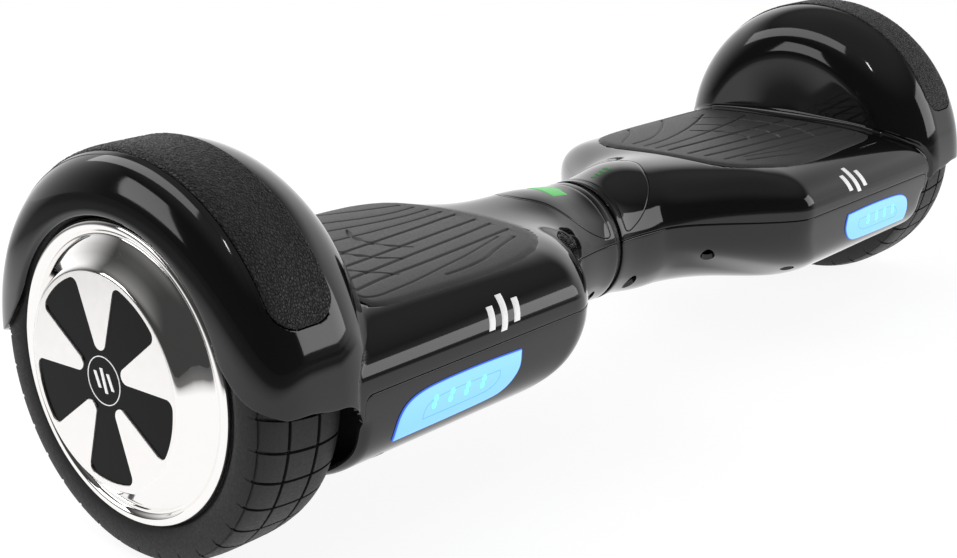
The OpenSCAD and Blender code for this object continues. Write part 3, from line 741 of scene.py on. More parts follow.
def disc_plug(u0, u1, w):
    """Dark inner end wall of the lower shell."""
    t = np.linspace(0, RN, 120, endpoint=False)
    p = sec(200.0, t)
    d = sec(200.0, t + 0.02) - sec(200.0, t - 0.02)
    d /= np.linalg.norm(d, axis=-1, keepdims=True)
    p = p + w * np.stack([d[:, 1], -d[:, 0]], -1)
    p[:, 1] = np.minimum(p[:, 1], SEAM - 0.6)
    V, n = [], len(t)
    for u in (u0, u1):
        V.append(np.stack([np.full(n, u), p[:, 0], p[:, 1]], -1))
    V = np.vstack(V + [np.array([[u0, 0, 60.0], [u1, 0, 60.0]])])
    F = list(map(list, grid_faces(2, n, 0, True)))
    for j in range(n):
        j2 = (j + 1) % n
        F.append([j2, j, 2 * n, 2 * n])
        F.append([n + j, n + j2, 2 * n + 1, 2 * n + 1])
    F = np.array(F)
    return V, outward(V, F)


print("shells")
UV, UF = thicken(*upper_skin(), 2.3, 0.45)
LV, LF = thicken(*lower_skin(), 2.3, 0.45)
SCREWS = [(18, 24.5), (62, 46), (106, 71), (215.2, 72)]
for side, s in SIDES:
    o = build(side + "_upper_shell_skin", *flipx(UV, UF, s), M["shell"], angle=50)
    finish_piece(o, side + "_half", "shell_black", side + "_upper_shell")
    o = build(side + "_lower_shell_skin", *flipx(LV, LF, s), M["shell"])
    cuts = [cyl(x, y * k, 10, 66, 4.1) for x, y in SCREWS for k in (1, -1)]
    if side == "left":
        cuts += [cyl(150, 0, 70, 110, 8.6, "y", 48, 62), cyl(186, 0, 70, 110, 6.4, "y", 48, 62)]
    for i, c in enumerate(cuts):
        boolean(o, cutter("c%d" % i, flipx(*c, s)))
    o.data.materials.clear()
    o.data.materials.append(M["shell"])
    o.data.polygons.foreach_set("use_smooth", [True] * len(o.data.polygons))
    o.data.set_sharp_from_angle(angle=math.radians(42))
    finish_piece(o, side + "_half", "shell_black", side + "_lower_shell")
    tubes = []
    tubes.append(disc_plug(222.5, 225.0, 2.6))
    o = build(side + "_lower_shell_bosses", *flipx(*join_vf(tubes), s), M["shell_in"], angle=40)
    finish_piece(o, side + "_half", "shell_black")

# Wheel-side liner of each fender: the inner surface of the arch, dark and plain
LIN = [[216.8, 11], [217.2, 40]] + [[248 - 29.9 * math.cos(math.radians(a)), 62 + 28.2 * math.sin(math.radians(a))] for a in range(0, 91, 6)] + [[266, 90.2], [266, 89.2]]
LIN += [[248 - 28.9 * math.cos(math.radians(a)), 62 + 27.2 * math.sin(math.radians(a))] for a in range(90, -1, -6)] + [[218.2, 40], [217.8, 11]]
lv, lf = revolve(LIN, 160, AZ)
keep = np.all(lv[lf][:, :, 2] > 82.5, axis=1)
lf2 = lf[keep]
E = np.concatenate([lf2[:, [0, 1]], lf2[:, [1, 2]], lf2[:, [2, 3]], lf2[:, [3, 0]]]).astype(np.int64)
for side, s in SIDES:
    used = np.unique(lf2)
    mp = np.full(len(lv), -1)
    mp[used] = np.arange(len(used))
    o = build(side + "_fender_liner", *flipx(lv[used], mp[lf2], s), M["void"])
    bm_fill = o.modifiers.new("w", "WELD")
    bm_fill.merge_threshold = 1e-6
    finish_piece(o, side + "_half", "shell_black")

# ------------------------------------------------------------------ grip strips
print("strips")
NS, NW = 560, 74
ss = np.concatenate([[-1], np.sin(np.linspace(-math.pi / 2, math.pi / 2, 41))[1:-1], [1]])
s_ax = np.concatenate([-STRIP_S + 0.45 + (STRIP_C) * (1 - np.cos(np.linspace(0, math.pi / 2, 34)))[:-1],
                       np.linspace(-STRIP_S + 0.45 + STRIP_C, STRIP_S - 0.45 - STRIP_C, 480),
                       (STRIP_S - 0.45 - STRIP_C * (1 - np.cos(np.linspace(0, math.pi / 2, 34)))[::-1])[1:]])
hw, cr = STRIP_H - 0.45, STRIP_C - 0.45
ex = np.clip(np.abs(s_ax) - (STRIP_S - 0.45 - STRIP_C), 0, STRIP_C)
wid = hw - cr + np.sqrt(np.clip(cr ** 2 - (ex / STRIP_C * cr) ** 2, 0, None))
vv = np.linspace(-1, 1, NW)
vv = np.sign(vv) * (1 - (1 - np.abs(vv)) ** 1.25)
SU = STRIP_U + wid[:, None] * vv[None, :]
SS = np.repeat(s_ax[:, None], NW, 1)
dist = np.maximum(-(strip_sd(SU, SS) + 0.45), 0)
h = 0.55 - 1.0 * (1 - np.clip(dist / 1.1, 0, 1)) ** 2.2
R = np.minimum(face_r(SU), FR) + h
for i in range(SU.shape[0]):
    for j in range(NW):
        if dist[i, j] > 0.8:
            p = Vector((SU[i, j] * 0.75, SS[i, j] * 0.62, 3.7))
            d = noise.voronoi(p)[0]
            R[i, j] += 0.3 * min(1.0, (d[1] - d[0]) / 0.45) - 0.2
ang = SS / FR
SV = np.stack([SU, R * np.sin(ang), AZ + R * np.cos(ang)], -1).reshape(-1, 3)
SF = grid_faces(*SU.shape)
SV, SF = weld(SV, SF)
if vnormals(SV, SF)[int(np.argmax(SV[:, 2])), 2] < 0:
    SF = SF[:, ::-1]
SV, SF = thicken(SV, SF, 0.9, 0.05, 1)
for side, s in SIDES:
    o = build(side + "_fender_strip_leather", *flipx(SV, SF, s), M["strip"])
    finish_piece(o, side + "_half", "strip_rubber", side + "_fender_strip")

# ------------------------------------------------------------------ foot pads
print("pads")
px = np.concatenate([80.4 + 7.0 * np.linspace(0, 1, 22, endpoint=False) ** 1.6, np.linspace(87.4, PAD_END, 300)])
pv = np.linspace(-1, 1, 340)
pw = np.interp(px, PU, PW)
k5 = np.ones(9) / 9
pw_s = np.convolve(np.pad(pw[22:], 4, mode="edge"), k5, "valid")
pw = np.concatenate([pw[:22], pw_s])
PX = np.repeat(px[:, None], len(pv), 1)
PY = pw[:, None] * pv[None, :]
tt = np.linspace(0, 8, 1600)
edge_line = [(PU[i], PW[i]) for i in range(len(PU))]
edge_line = [(80.4, 0)] + edge_line
D = np.minimum(seg_dist(PX, np.abs(PY), edge_line), np.where(PX > 150, PAD_END + 0.4 - PX + 0 * PY, 1e9))


def deck_z(x, y):
    """Deck height under the pad, from the section at x."""
    out = np.zeros_like(x)
    for i in range(x.shape[0]):
        p = sec(float(x[i, 0]), tt)
        out[i] = np.interp(np.abs(y[i]), p[:, 0], p[:, 1])
    return out


Z = deck_z(PX, PY) + 0.05 + 1.0 * (1 - (1 - np.clip(D / 4.2, 0, 1)) ** 2.4)


def fan(x, y0):
    """Rib line y for its starting offset y0; the ribs spread towards the wheel."""
    g = np.clip((x - 88) / 105, 0, 1.1)
    return y0 * (1 + 0.50 * g ** 1.15) + np.sign(y0) * 1.2 * g


H = np.zeros_like(Z)
RIBS = [[(88.5, -1.2), (98, -1.0), (111.8, 0.4), (135.6, 2.0), (150.8, 3.0), (171.4, 4.6), (199, 7)],
        [(89.1, 13), (113.4, 15.2), (139.8, 17.6), (161.6, 19.7), (182.3, 21.7), (200, 24)],
        [(90.1, 24), (114.7, 27.5), (147.7, 31.1), (172.3, 34.2), (193, 36.4), (201, 38)],
        [(91.4, 37.1), (124.1, 40.8), (154.2, 43.9), (179.2, 45.7), (200.5, 49.3)],
        [(88.7, -10.4), (109.3, -9.9), (130.3, -10.9), (145.2, -12.4), (160.2, -14.5), (180, -18), (200, -23)],
        [(89, -19.6), (105.5, -19.7), (123.1, -22.9), (136.3, -26.4), (148.4, -30.4), (166, -37.5), (186, -47)],
        [(89.9, -28.8), (104.6, -29.4), (118.7, -33.6), (129.6, -39.2), (140, -45.5), (152, -54), (160, -61)],
        [(90.9, -37.9), (106.4, -45.9), (118, -53.6), (125.4, -60.6)]]
for line in RIBS:
    ln = catmull(line, 50)
    d = seg_dist(PX, PY, [(a, -b) for a, b in ln])
    yl = -np.interp(PX, ln[:, 0], ln[:, 1])
    v = np.exp(-(d / 0.72) ** 2)
    below = (PY - yl) * (1 if ln[0, 1] > -5 else -1) * -1
    soft = np.exp(-np.clip(below, 0, None) / 2.4) * (below > 0) * (PX > ln[0, 0]) * (PX < ln[-1, 0])
    H -= 0.85 * v + 0.34 * soft * (1 - v)
line = catmull([(98.5, 47.7), (108, 50.9), (119, 54.6), (131, 59.2), (146, 61.4), (158, 61.6)], 60)
H -= 0.8 * np.exp(-(seg_dist(PX, PY, [(a, -b) for a, b in line]) / 0.75) ** 2)
line = catmull([(103.5, 42.0), (132.1, 50.2), (154.9, 54.6), (172.7, 58.0), (187, 59.6), (196.9, 60.2), (203, 57.6), (203.8, 50), (203.8, 20), (203.8, -20), (203.8, -50), (199, -60.6), (185, -62.4), (165, -63)], 110)
H -= 0.6 * np.exp(-(seg_dist(PX, PY, [(a, -b) for a, b in line]) / 0.6) ** 2)
for line in ([(139.4, -23), (144.6, -15), (147.6, -6), (147.8, 6), (145.4, 15), (141.3, 23.5)], [(155.6, -32.2), (162.6, -20), (166.6, -6), (166.9, 8), (162.3, 23.7), (155.6, 33)], [(173.5, -46), (181.6, -32), (186.2, -12), (186.6, 8), (184.4, 25.4), (176.9, 41.2), (173.5, 47)]):
    ln = catmull(line, 60)
    d = seg_dist(PX, PY, [(a, -b) for a, b in ln])
    span = abs(line[0][1])
    wdt = 0.5 + 0.9 * (0.5 + 0.5 * np.cos((PY + 4) / 10.8 * 2 * math.pi)) * (1 - np.clip(np.abs(PY) / (span + 1), 0, 1) ** 3)
    H -= 1.1 * np.exp(-(d / wdt) ** 4)
H *= sst(0.8, 3.0, D)
PV = np.stack([PX, PY, Z + H], -1).reshape(-1, 3)
PF = grid_faces(*PX.shape)
PV, PF = weld(PV, PF)
if vnormals(PV, PF)[:, 2].mean() < 0:
    PF = PF[:, ::-1]
PV, PF = thicken(PV, PF, 0.9, 0.05, 1)
for side, s in SIDES:
    o = build(side + "_foot_pad_rubber", *flipx(PV, PF, s), M["pad"])
    finish_piece(o, side + "_pad", "pad_rubber", side + "_foot_pad")

# ------------------------------------------------------------------ tyres
print("tyres")
TC = 260.2
half = [[0, 83.9], [4, 83.9], [6.6, 83.86], [6.75, 83.7], [6.8, 82.2], [8.2, 82.2], [8.25, 83.7], [8.4, 83.84], [11, 83.7], [14, 83.35], [17, 82.75], [19.2, 82.0], [20.2, 81.5],
        [20.4, 81.0], [20.5, 80.3], [20.9, 80.2], [21.1, 80.7], [21.4, 80.3], [22.0, 78.2], [22.4, 76], [22.6, 73.5], [22.5, 71], [22.0, 68.8], [21.0, 67], [19, 65.4], [18.4, 61.4]]
hp = []
for (a, b), (c, d) in zip(half[:-1], half[1:]):
    n = max(1, int(math.hypot(c - a, d - b) / 0.9))
    hp += [[a + (c - a) * k / n, b + (d - b) * k / n] for k in range(n)]
hp.append(half[-1])
hp = np.array(hp)
prof = np.vstack([np.stack([TC - hp[::-1, 0], hp[::-1, 1]], 1), np.stack([TC + hp[1:, 0], hp[1:, 1]], 1)])
offs = np.array([-0.60, -0.50, -0.44, -0.2, 0.2, 0.44, 0.50, 0.60, 1.0, 2.2, 3.6, 5.0, 6.4, 7.8, 9.0])
an = (np.arange(36)[:, None] * 10 + offs[None, :]).ravel()
gmask = np.tile((np.abs(offs) < 0.46).astype(float), 36)
U = np.repeat(prof[:, 0][:, None], len(an), 1)
RR = np.repeat(prof[:, 1][:, None], len(an), 1)
off = -0.0042 * (U - 249) ** 2
A = np.radians(an[None, :] + off + 5)
dep = np.where(np.abs(U - TC) < 20.3, 1.7, np.where(RR > 77.2, 0.9, 0.0)) * (RR > 77.2)
dep = np.where(RR < 82.6, dep * 0.75, dep)
floor_r = 82.2
RR2 = RR - gmask[None, :] * dep
RR2 = np.where((np.abs(U - TC) < 19) & (gmask[None, :] > 0), np.minimum(RR2, floor_r - 0.0), RR2)
TV = np.stack([U, -RR2 * np.sin(A), AZ + RR2 * np.cos(A)], -1).reshape(-1, 3)
m = len(prof)
n = len(an)
TF = grid_faces(m, n, 0, True)
j = np.arange(n)
TF = np.vstack([TF, np.stack([(m - 1) * n + j, (m - 1) * n + (j + 1) % n, (j + 1) % n, j], 1)])
TF = outward(TV, TF)
for side, s in SIDES:
    o = build(side + "_tyre_treads", *flipx(TV, TF, s), M["tyre"], angle=38)
    finish_piece(o, side + "_wheel", "tyre", side + "_tyre")

# ------------------------------------------------------------------ wheel covers
print("wheels")
trim = [[280.6, 57.0], [280.6, 64.6], [281.0, 65.2], [281.8, 65.5], [282.7, 65.4], [283.5, 64.9], [283.95, 64.1], [284.05, 63.2], [283.95, 62.3], [283.6, 61.5], [283.0, 60.8], [282.5, 60.3],
        [282.25, 59.9], [282.2, 59.4], [282.5, 58.9], [283.2, 58.2], [285.0, 55.7], [287.0, 52.9], [289.0, 50.1], [290.6, 48.6], [291.4, 47.8], [291.9, 47.2], [292.15, 46.6], [292.2, 46.2], [291.8, 46.0], [290.6, 46.0], [290.0, 47.4], [281.8, 57.2]]
tv, tf = revolve(trim, 288, AZ)


def star_outline():
    pts = []
    for k in range(5):
        base = 36 + 72 * k
        # arm: from its near side corner to its far side corner, then the rounded inner end of the bright petal
        R0, rc = 44.5, 3.9
        loc = []
        x0, y0, dx, dy = 18.0, 7.6, math.cos(math.radians(17.5)), math.sin(math.radians(17.5))
        # outer corner: circle of radius rc tangent to the side line and inside the outer arc
        nx, ny = dy, -dx
        best = None
        for q in np.linspace(0, 40, 4001):
            cx, cy = x0 + dx * q + nx * rc, y0 + dy * q + ny * rc
            if math.hypot(cx, cy) + rc >= R0:
                best = (cx, cy, q)
                break
        cx, cy, q = best
        a1 = math.atan2(-ny, -nx)
        a0 = math.atan2(cy, cx)
        arc_out = [(R0 * math.cos(v), R0 * math.sin(v)) for v in np.linspace(-a0, a0, 14)]
        cor = [(cx + rc * math.cos(v), cy + rc * math.sin(v)) for v in np.linspace(a0, a1, 10)]
        rho, ap = 3.45, math.radians(36)
        dc = 6.0 + rho / math.sin(math.radians(18.5))
        ux, uy = dc * math.cos(ap), dc * math.sin(ap)
        # tangent points of the petal's inner circle
        b0 = math.atan2(dx, -dy)
        t0 = math.radians(17.5 - 90)
        t1 = math.radians(54.5 + 90) - 2 * math.pi
        vs = np.linspace(t0, t1, 16)
        uarc = [(ux + rho * math.cos(v), uy + rho * math.sin(v)) for v in vs]
        cm = [(x, -y) for x, y in cor[::-1]]
        loc = cm + arc_out[1:-1] + cor + uarc
        c, s_ = math.cos(math.radians(base)), math.sin(math.radians(base))
        pts += [(x * c - y * s_, x * s_ + y * c) for x, y in loc]
    return pts


def flat_curve(name, loops, extr, bev, mat):
    """Flat plate with rounded edges from closed outlines (mm), lying in XY."""
    cu = bpy.data.curves.new(name, "CURVE")
    cu.dimensions = "2D"
    cu.fill_mode = "BOTH"
    cu.extrude = extr * MM
    cu.bevel_depth = bev * MM
    cu.bevel_resolution = 2
    for lp in loops:
        sp = cu.splines.new("POLY")
        sp.points.add(len(lp) - 1)
        for i, (x, y) in enumerate(lp):
            sp.points[i].co = (x * MM, y * MM, 0, 1)
        sp.use_cyclic_u = True
    o = bpy.data.objects.new(name, cu)
    bpy.context.scene.collection.objects.link(o)
    bpy.context.view_layer.update()
    dg = bpy.context.evaluated_depsgraph_get()
    me = bpy.data.meshes.new_from_object(o.evaluated_get(dg))
    bpy.data.objects.remove(o)
    me.name = name
    me.materials.clear()
    me.materials.append(mat)
    o = bpy.data.objects.new(name, me)
    bpy.context.scene.collection.objects.link(o)
    return o


def to_wheel(o, s, u):
    """XY plate -> plane facing outboard on the wheel at distance u: its Y is up, its X is towards -s*Y."""
    # local (x, y, z) -> world (s*(u+z), x, AZ + y)
    mat = Matrix(((0, 0, s, s * u * MM), (1, 0, 0, 0), (0, 1, 0, AZ * MM), (0, 0, 0, 1)))
    o.data.transform(mat)
    if mat.to_3x3().determinant() < 0:
        o.data.flip_normals()
    o.data.polygons.foreach_set("use_smooth", [True] * len(o.data.polygons))
    o.data.set_sharp_from_angle(angle=math.radians(35))
    return o


def circle(r, n=160, cx=0.0, cy=0.0):
    return [(cx + r * math.cos(a), cy + r * math.sin(a)) for a in np.linspace(0, 2 * math.pi, n, endpoint=False)]


star = star_outline()
star = [(y, x) for x, y in star]  # first angle counts from straight up
for side, s in SIDES:
    o = build(side + "_trim_cone", *flipx(tv, tf, s), M["chrome"], angle=40)
    finish_piece(o, side + "_wheel", "trim_chrome", side + "_wheel_trim")
    o = to_wheel(flat_curve(side + "_trim_face", [circle(46.1), star], 0.45, 0.2, M["face"]), s, 291.6)
    finish_piece(o, side + "_wheel", "trim_chrome")
    v, f = revolve([[290.3, 0.0], [291.5, 0.0], [291.5, 45.6], [290.3, 45.6]], 160, AZ)
    o = build(side + "_star_field", *flipx(v, f, s), M["inlay"], angle=40)
    finish_piece(o, side + "_wheel", "inlay_black", side + "_star_inlay")
    # badge ring and slanted bars: white print carrying a painted glow (emission), not a lit part
    v, f = revolve([[291.3, 10.2], [291.68, 10.2], [291.78, 10.3], [291.78, 10.5], [291.68, 10.6], [291.3, 10.6]], 128, AZ)
    o = build(side + "_badge_ring", *flipx(v, f, s), M["white"], angle=60)
    finish_piece(o, side + "_wheel", "inlay_black", side + "_wheel_badge")
    bars = []
    for i, (cx, hh) in enumerate(((-4.2, 3.4), (0, 5.2), (4.2, 3.4))):
        sl = 1.3
        bars.append([(cx - 0.8 - sl, -hh), (cx + 0.8 - sl, -hh), (cx + 0.8 + sl, hh), (cx - 0.8 + sl, hh)])
    o = to_wheel(flat_curve(side + "_badge_bars", bars, 0.1, 0.05, M["white"]), s, 291.6)
    finish_piece(o, side + "_wheel", "inlay_black")

# ------------------------------------------------------------------ lamps
print("lamps")
tz = np.linspace(6.6, 14, 3000)
RZ = sec(200.0, tz)
RT = np.degrees(0)


def front_pt(u, z, off=0.0):
    """Point on the front skin at distance u and height z, raised by off along the normal; body section, u above about 128."""
    t = np.interp(-np.asarray(z, float), -RZ[:, 1], tz)
    p = sec(200.0, t)
    d = sec(200.0, t + 0.02) - sec(200.0, t - 0.02)
    d /= np.linalg.norm(d, axis=-1, keepdims=True)
    n = np.stack([-d[..., 1], d[..., 0]], -1)
    n = np.where((n[..., :1] < 0), -n, n)
    p = p + n * np.asarray(off)[..., None]
    return np.stack([np.broadcast_to(u, p[..., 0].shape), -p[..., 0], p[..., 1]], -1)


segA = catmull([(216.6, 52.8), (216.2, 58.5), (214.6, 64.0), (210.6, 68.7), (203, 71.6), (190, 72.8), (166, 73.1), (141.8, 72.4)], 70)
segB = catmull([(141.8, 72.4), (141.4, 67), (142.2, 63), (145.6, 58.6), (151, 55.2), (158.5, 53.7), (182, 53.0), (216.6, 52.8)], 70)
OUT = np.vstack([segA[:-1], segB[:-1]])
CEN = np.array([179.0, 63.0])


def patch(outline, centre, rings, mapper):
    """Star-shaped patch: rings is [(scale, height)], mapper(u, z, height) -> points."""
    n = len(outline)
    V = []
    for sc, hh in rings:
        P = centre + (outline - centre) * sc
        V.append(mapper(P[:, 0], P[:, 1], np.full(n, hh)))
    V.append(mapper(np.array([centre[0]]), np.array([centre[1]]), np.array([rings[-1][1]])))
    k = len(rings)
    VV = np.vstack(V)
    F = list(map(list, grid_faces(k, n, 0, True)))
    for j in range(n):
        F.append([(k - 1) * n + j, (k - 1) * n + (j + 1) % n, k * n, k * n])
    return VV, np.array(F)


def ribbon(outline, width, h0, h1, mapper, centre):
    """Thin raised line along a closed outline."""
    n = len(outline)
    nxt, prv = np.roll(outline, -1, 0), np.roll(outline, 1, 0)
    d = nxt - prv
    d /= np.maximum(np.linalg.norm(d, axis=1, keepdims=True), 1e-9)
    nn = np.stack([d[:, 1], -d[:, 0]], -1)
    if ((outline - centre) * nn).sum() < 0:
        nn = -nn
    V = []
    for w, h in ((-0.5, h0), (-0.3, h1), (0.3, h1), (0.5, h0)):
        P = outline + nn * width * w
        V.append(mapper(P[:, 0], P[:, 1], np.full(n, h)))
    VV = np.vstack(V)
    F = grid_faces(4, n, 0, True)
    j = np.arange(n)
    F = np.vstack([F, np.stack([3 * n + j, 3 * n + (j + 1) % n, (j + 1) % n, j], 1)])
    return VV, outward(VV, F)


def close_down(V, F, th):
    V, F = weld(V, F)
    return thicken(V, F, th, 0.03, 1)


def facing(V, F, direction):
    if (vnormals(V, F) @ np.array(direction)).mean() < 0:
        F = F[:, ::-1]
    return V, F


lens = patch(OUT, CEN, [(1.0, -0.2), (1.0, 0.5), (0.993, 0.74), (0.98, 0.86), (0.94, 0.94), (0.8, 1.0), (0.6, 1.03), (0.4, 1.04), (0.2, 1.04)], front_pt)
lens = close_down(*facing(*lens, (0, -1, 0)), 1.6)
IN = CEN + np.array([-0.5, -0.2]) + (OUT - CEN) * np.array([0.62, 0.43])
edge = ribbon(OUT, 0.9, -0.5, 0.62, front_pt, CEN)
inner = ribbon(IN, 0.45, 0.8, 1.08, front_pt, CEN)
for side, s in SIDES:
    o = build(side + "_lamp_glass", *flipx(*lens, s), M["lamp"], angle=60)
    finish_piece(o, side + "_half", "lamp_blue", side + "_lamp_lens")
    o = build(side + "_lamp_rim_glow", *flipx(*edge, s), M["lamp_edge"], angle=60)
    finish_piece(o, side + "_half", "lamp_blue")
    o = build(side + "_lamp_inner_line", *flipx(*inner, s), M["lamp_line"], angle=60)
    finish_piece(o, side + "_half", "lamp_blue")
    leds = []
    for u in (195.4, 185.6, 176.0, 166.0):
        for z, du in ((66.3, -0.45), (63.1, 0.45)):
            a = np.linspace(0, 2 * math.pi, 28, endpoint=False)
            c = np.array([u + du, z])
            ol = c + np.stack([1.45 * np.cos(a), 1.75 * np.sin(a)], 1)
            v, f = patch(ol, c, [(1.0, 0.9), (0.93, 1.12), (0.7, 1.2), (0.35, 1.24)], front_pt)
            leds.append(close_down(*facing(v, f, (0, -1, 0)), 0.2))
    o = build(side + "_lamp_leds", *flipx(*join_vf(leds), s), M["led"])
    finish_piece(o, side + "_half", "lamp_blue")

# Plain slanted bars stand where a printed mark would be; they are white print with a painted glow (emission)
for side, s in SIDES:
    items = []
    for i, (u0, z0, z1) in enumerate(((158.5, 86.6, 95.6), (150.5, 84.6, 98.2), (142.5, 86.6, 95.6))):
        n1, n2 = 12, 4
        zz = np.linspace(z0, z1, n1)[:, None] + np.zeros((1, n2))
        uu = u0 - (zz - 91) * 0.42 + np.linspace(-1.9, 1.9, n2)[None, :]
        t = np.interp(-zz, -RZU[:, 1], tzu) if False else None
        items.append((uu, zz))
    tzu = np.linspace(4.6, 9, 3000)
    RZU = sec(200.0, tzu)
    parts = []
    for uu, zz in items:
        t = np.interp(-zz, -RZU[:, 1], tzu)
        p = sec(200.0, t)
        d = sec(200.0, t + 0.02) - sec(200.0, t - 0.02)
        d /= np.linalg.norm(d, axis=-1, keepdims=True)
        nn = np.stack([-d[..., 1], d[..., 0]], -1)
        nn = np.where(nn[..., :1] < 0, -nn, nn)
        p = p + nn * 0.1
        V = np.stack([uu, -p[..., 0], p[..., 1]], -1).reshape(-1, 3)
        parts.append(thicken(*facing(V, grid_faces(*uu.shape), (0, -1, 0.2)), 0.2, 0.02, 1))
    o = build(side + "_front_bars", *flipx(*join_vf(parts), s), M["white"])
    finish_piece(o, side + "_half", "shell_black")

# ------------------------------------------------------------------ display inserts
print("inserts")
tq = np.linspace(0, 9, 2000)
ringp = spl(tq) - np.array([0, NZ])
thq = np.degrees(np.arctan2(ringp[:, 0], ringp[:, 1]))


def neck_pt(u, th, off):
    t = np.interp(np.abs(th), thq, tq)
    p = sec(u, t)
    d = p - np.array([0, NZ])
    d /= np.linalg.norm(d, axis=-1, keepdims=True)
    p = p + d * np.asarray(off)[..., None]
    return np.stack([np.broadcast_to(u, p[..., 0].shape), np.where(np.asarray(th) < 0, -p[..., 0], p[..., 0]), p[..., 1]], -1)


OB = catmull([(50.2, 0), (49.6, 9), (46.6, 18), (42, 29), (36.2, 43), (28.5, 56), (19.5, 66.5), (12.2, 72.4), (8.6, 73.8), (6.6, 72.0), (6.1, 68)], 90)
ob = OB.tolist()
half_pts_ = ob + [[6.0, v] for v in np.linspace(64, 4, 16)]
full = half_pts_ + [[6.0, 0.0]] + [[u, -v] for u, v in half_pts_[::-1]]
full = np.array(full[:-1])
# work in (u, arc) with arc in mm so that widths are even
SC = 0.62
fo = full * np.array([1, SC])
cen = np.array([24.0, 0.0])
nm = lambda u, a, h: neck_pt(u, a / SC, h)
# grid patch from the inner edge to the outer edge
tha = np.concatenate([np.linspace(-73.7, -60, 26), np.linspace(-59, 59, 110), np.linspace(60, 73.7, 26)])
obu = np.interp(np.abs(tha), OB[:77, 1], OB[:77, 0])
NU = 26
wq = np.linspace(0, 1, NU)
UU = 6.05 + (np.maximum(obu, 8.6) - 6.05)[:, None] * wq[None, :]
corner = np.clip((np.abs(tha) - 66) / 7.7, 0, 1)
UU = UU + (2.2 * (1 - np.sqrt(np.clip(1 - corner ** 2, 0, 1))))[:, None] * (1 - wq)[None, :]
TH = np.repeat(tha[:, None], NU, 1)
dd = np.minimum(seg_dist(UU, TH * SC, [tuple(p) for p in fo] + [tuple(fo[0])]), 3)
HH = 0.14 - 0.42 * (1 - np.clip(dd / 0.55, 0, 1)) ** 2
IV = neck_pt(UU, TH, HH).reshape(-1, 3)
IV, IF = facing(IV, grid_faces(*UU.shape), (0, 0, 1))
IV, IF = thicken(IV, IF, 1.0, 0.03, 1)
gap = ribbon(fo, 0.75, -0.3, 0.03, nm, cen)
for side, s in SIDES:
    o = build(side + "_display_glass", *flipx(IV, IF, s), M["display"])
    finish_piece(o, side + "_half", "display_black", side + "_display_insert")
    o = build(side + "_display_gap", *flipx(*gap, s), M["void"])
    finish_piece(o, side + "_half", "display_black")


def neck_plate(name, polys_ut, off, mat, body, s):
    items = []
    for (u0, u1, a0, a1) in polys_ut:
        uu = np.linspace(u0, u1, 8)[:, None] + np.zeros((1, 10))
        aa = np.linspace(a0, a1, 10)[None, :] + np.zeros((8, 1))
        V = neck_pt(uu, aa, np.full(uu.shape, off)).reshape(-1, 3)
        items.append(thicken(*facing(V, grid_faces(8, 10), (0, 0, 1)), 0.2, 0.02, 1))
    o = build(name, *flipx(*join_vf(items), s), mat)
    finish_piece(o, body, "display_black")


neck_plate("left_charge_icon", [(17.5, 29.5, -20.0, 9.0), (16.0, 17.45, -12.0, 2.0)], 0.24, M["green"], "left_half", -1)
neck_plate("right_level_bars", [(14 + 4.4 * i, 16.6 + 4.4 * i, -6.0, -6.0 + 3.2 + 1.7 * i) for i in range(4)], 0.24, M["dim_green"], "right_half", 1)

# ------------------------------------------------------------------ stage, light and camera
def emitter(name, loc, target, sx, sy, power, col=(1, 1, 1)):
    li = bpy.data.lights.new(name, "AREA")
    li.shape = "RECTANGLE"
    li.size, li.size_y = sx, sy
    li.energy = power
    li.color = col
    o = bpy.data.objects.new(name, li)
    o.location = loc
    o.rotation_euler = (Vector(target) - Vector(loc)).to_track_quat("-Z", "Y").to_euler()
    bpy.context.scene.collection.objects.link(o)
    return o


fl = bpy.data.meshes.new("floor")
fl.from_pydata([(-6, -6, -0.0004), (6, -6, -0.0004), (6, 6, -0.0004), (-6, 6, -0.0004)], [], [(0, 1, 2, 3)])
floor = bpy.data.objects.new("floor", fl)
bpy.context.scene.collection.objects.link(floor)
fm, nt, b, co = nodes_of("floor_pale")
b.inputs["Base Color"].default_value = (0.22, 0.22, 0.22, 1)
b.inputs["Roughness"].default_value = 0.9
b.inputs["Specular IOR Level"].default_value = 0.0
b.inputs["Emission Color"].default_value = (1, 1, 1, 1)
geo = add(nt, "ShaderNodeNewGeometry")
flat = add(nt, "ShaderNodeVectorMath", operation="MULTIPLY")
flat.inputs[1].default_value = (1, 1, 0)
nt.links.new(geo.outputs["Position"], flat.inputs[0])
dst = add(nt, "ShaderNodeVectorMath", operation="LENGTH")
nrm = add(nt, "ShaderNodeVectorMath", operation="NORMALIZE")
dotn = add(nt, "ShaderNodeVectorMath", operation="DOT_PRODUCT")
dotn.inputs[1].default_value = (0.824, 0.566, 0.0)
nt.links.new(flat.outputs[0], dst.inputs[0])
nt.links.new(flat.outputs[0], nrm.inputs[0])
nt.links.new(nrm.outputs[0], dotn.inputs[0])
mx = add(nt, "ShaderNodeMath", operation="MAXIMUM")
nt.links.new(ramp(nt, dst.outputs["Value"], 0.62, 1.0, 0.92, 0.03), mx.inputs[0])
nt.links.new(ramp(nt, dotn.outputs["Value"], 0.1, 0.6, 0.0, 1.2), mx.inputs[1])
cam_ray = add(nt, "ShaderNodeLightPath")
em = add(nt, "ShaderNodeMix", data_type="FLOAT")
nt.links.new(cam_ray.outputs["Is Camera Ray"], em.inputs[0])
nt.links.new(mx.outputs[0], em.inputs[2])
em.inputs[3].default_value = 0.9
nt.links.new(em.outputs[0], b.inputs["Emission Strength"])
fl.materials.append(fm)

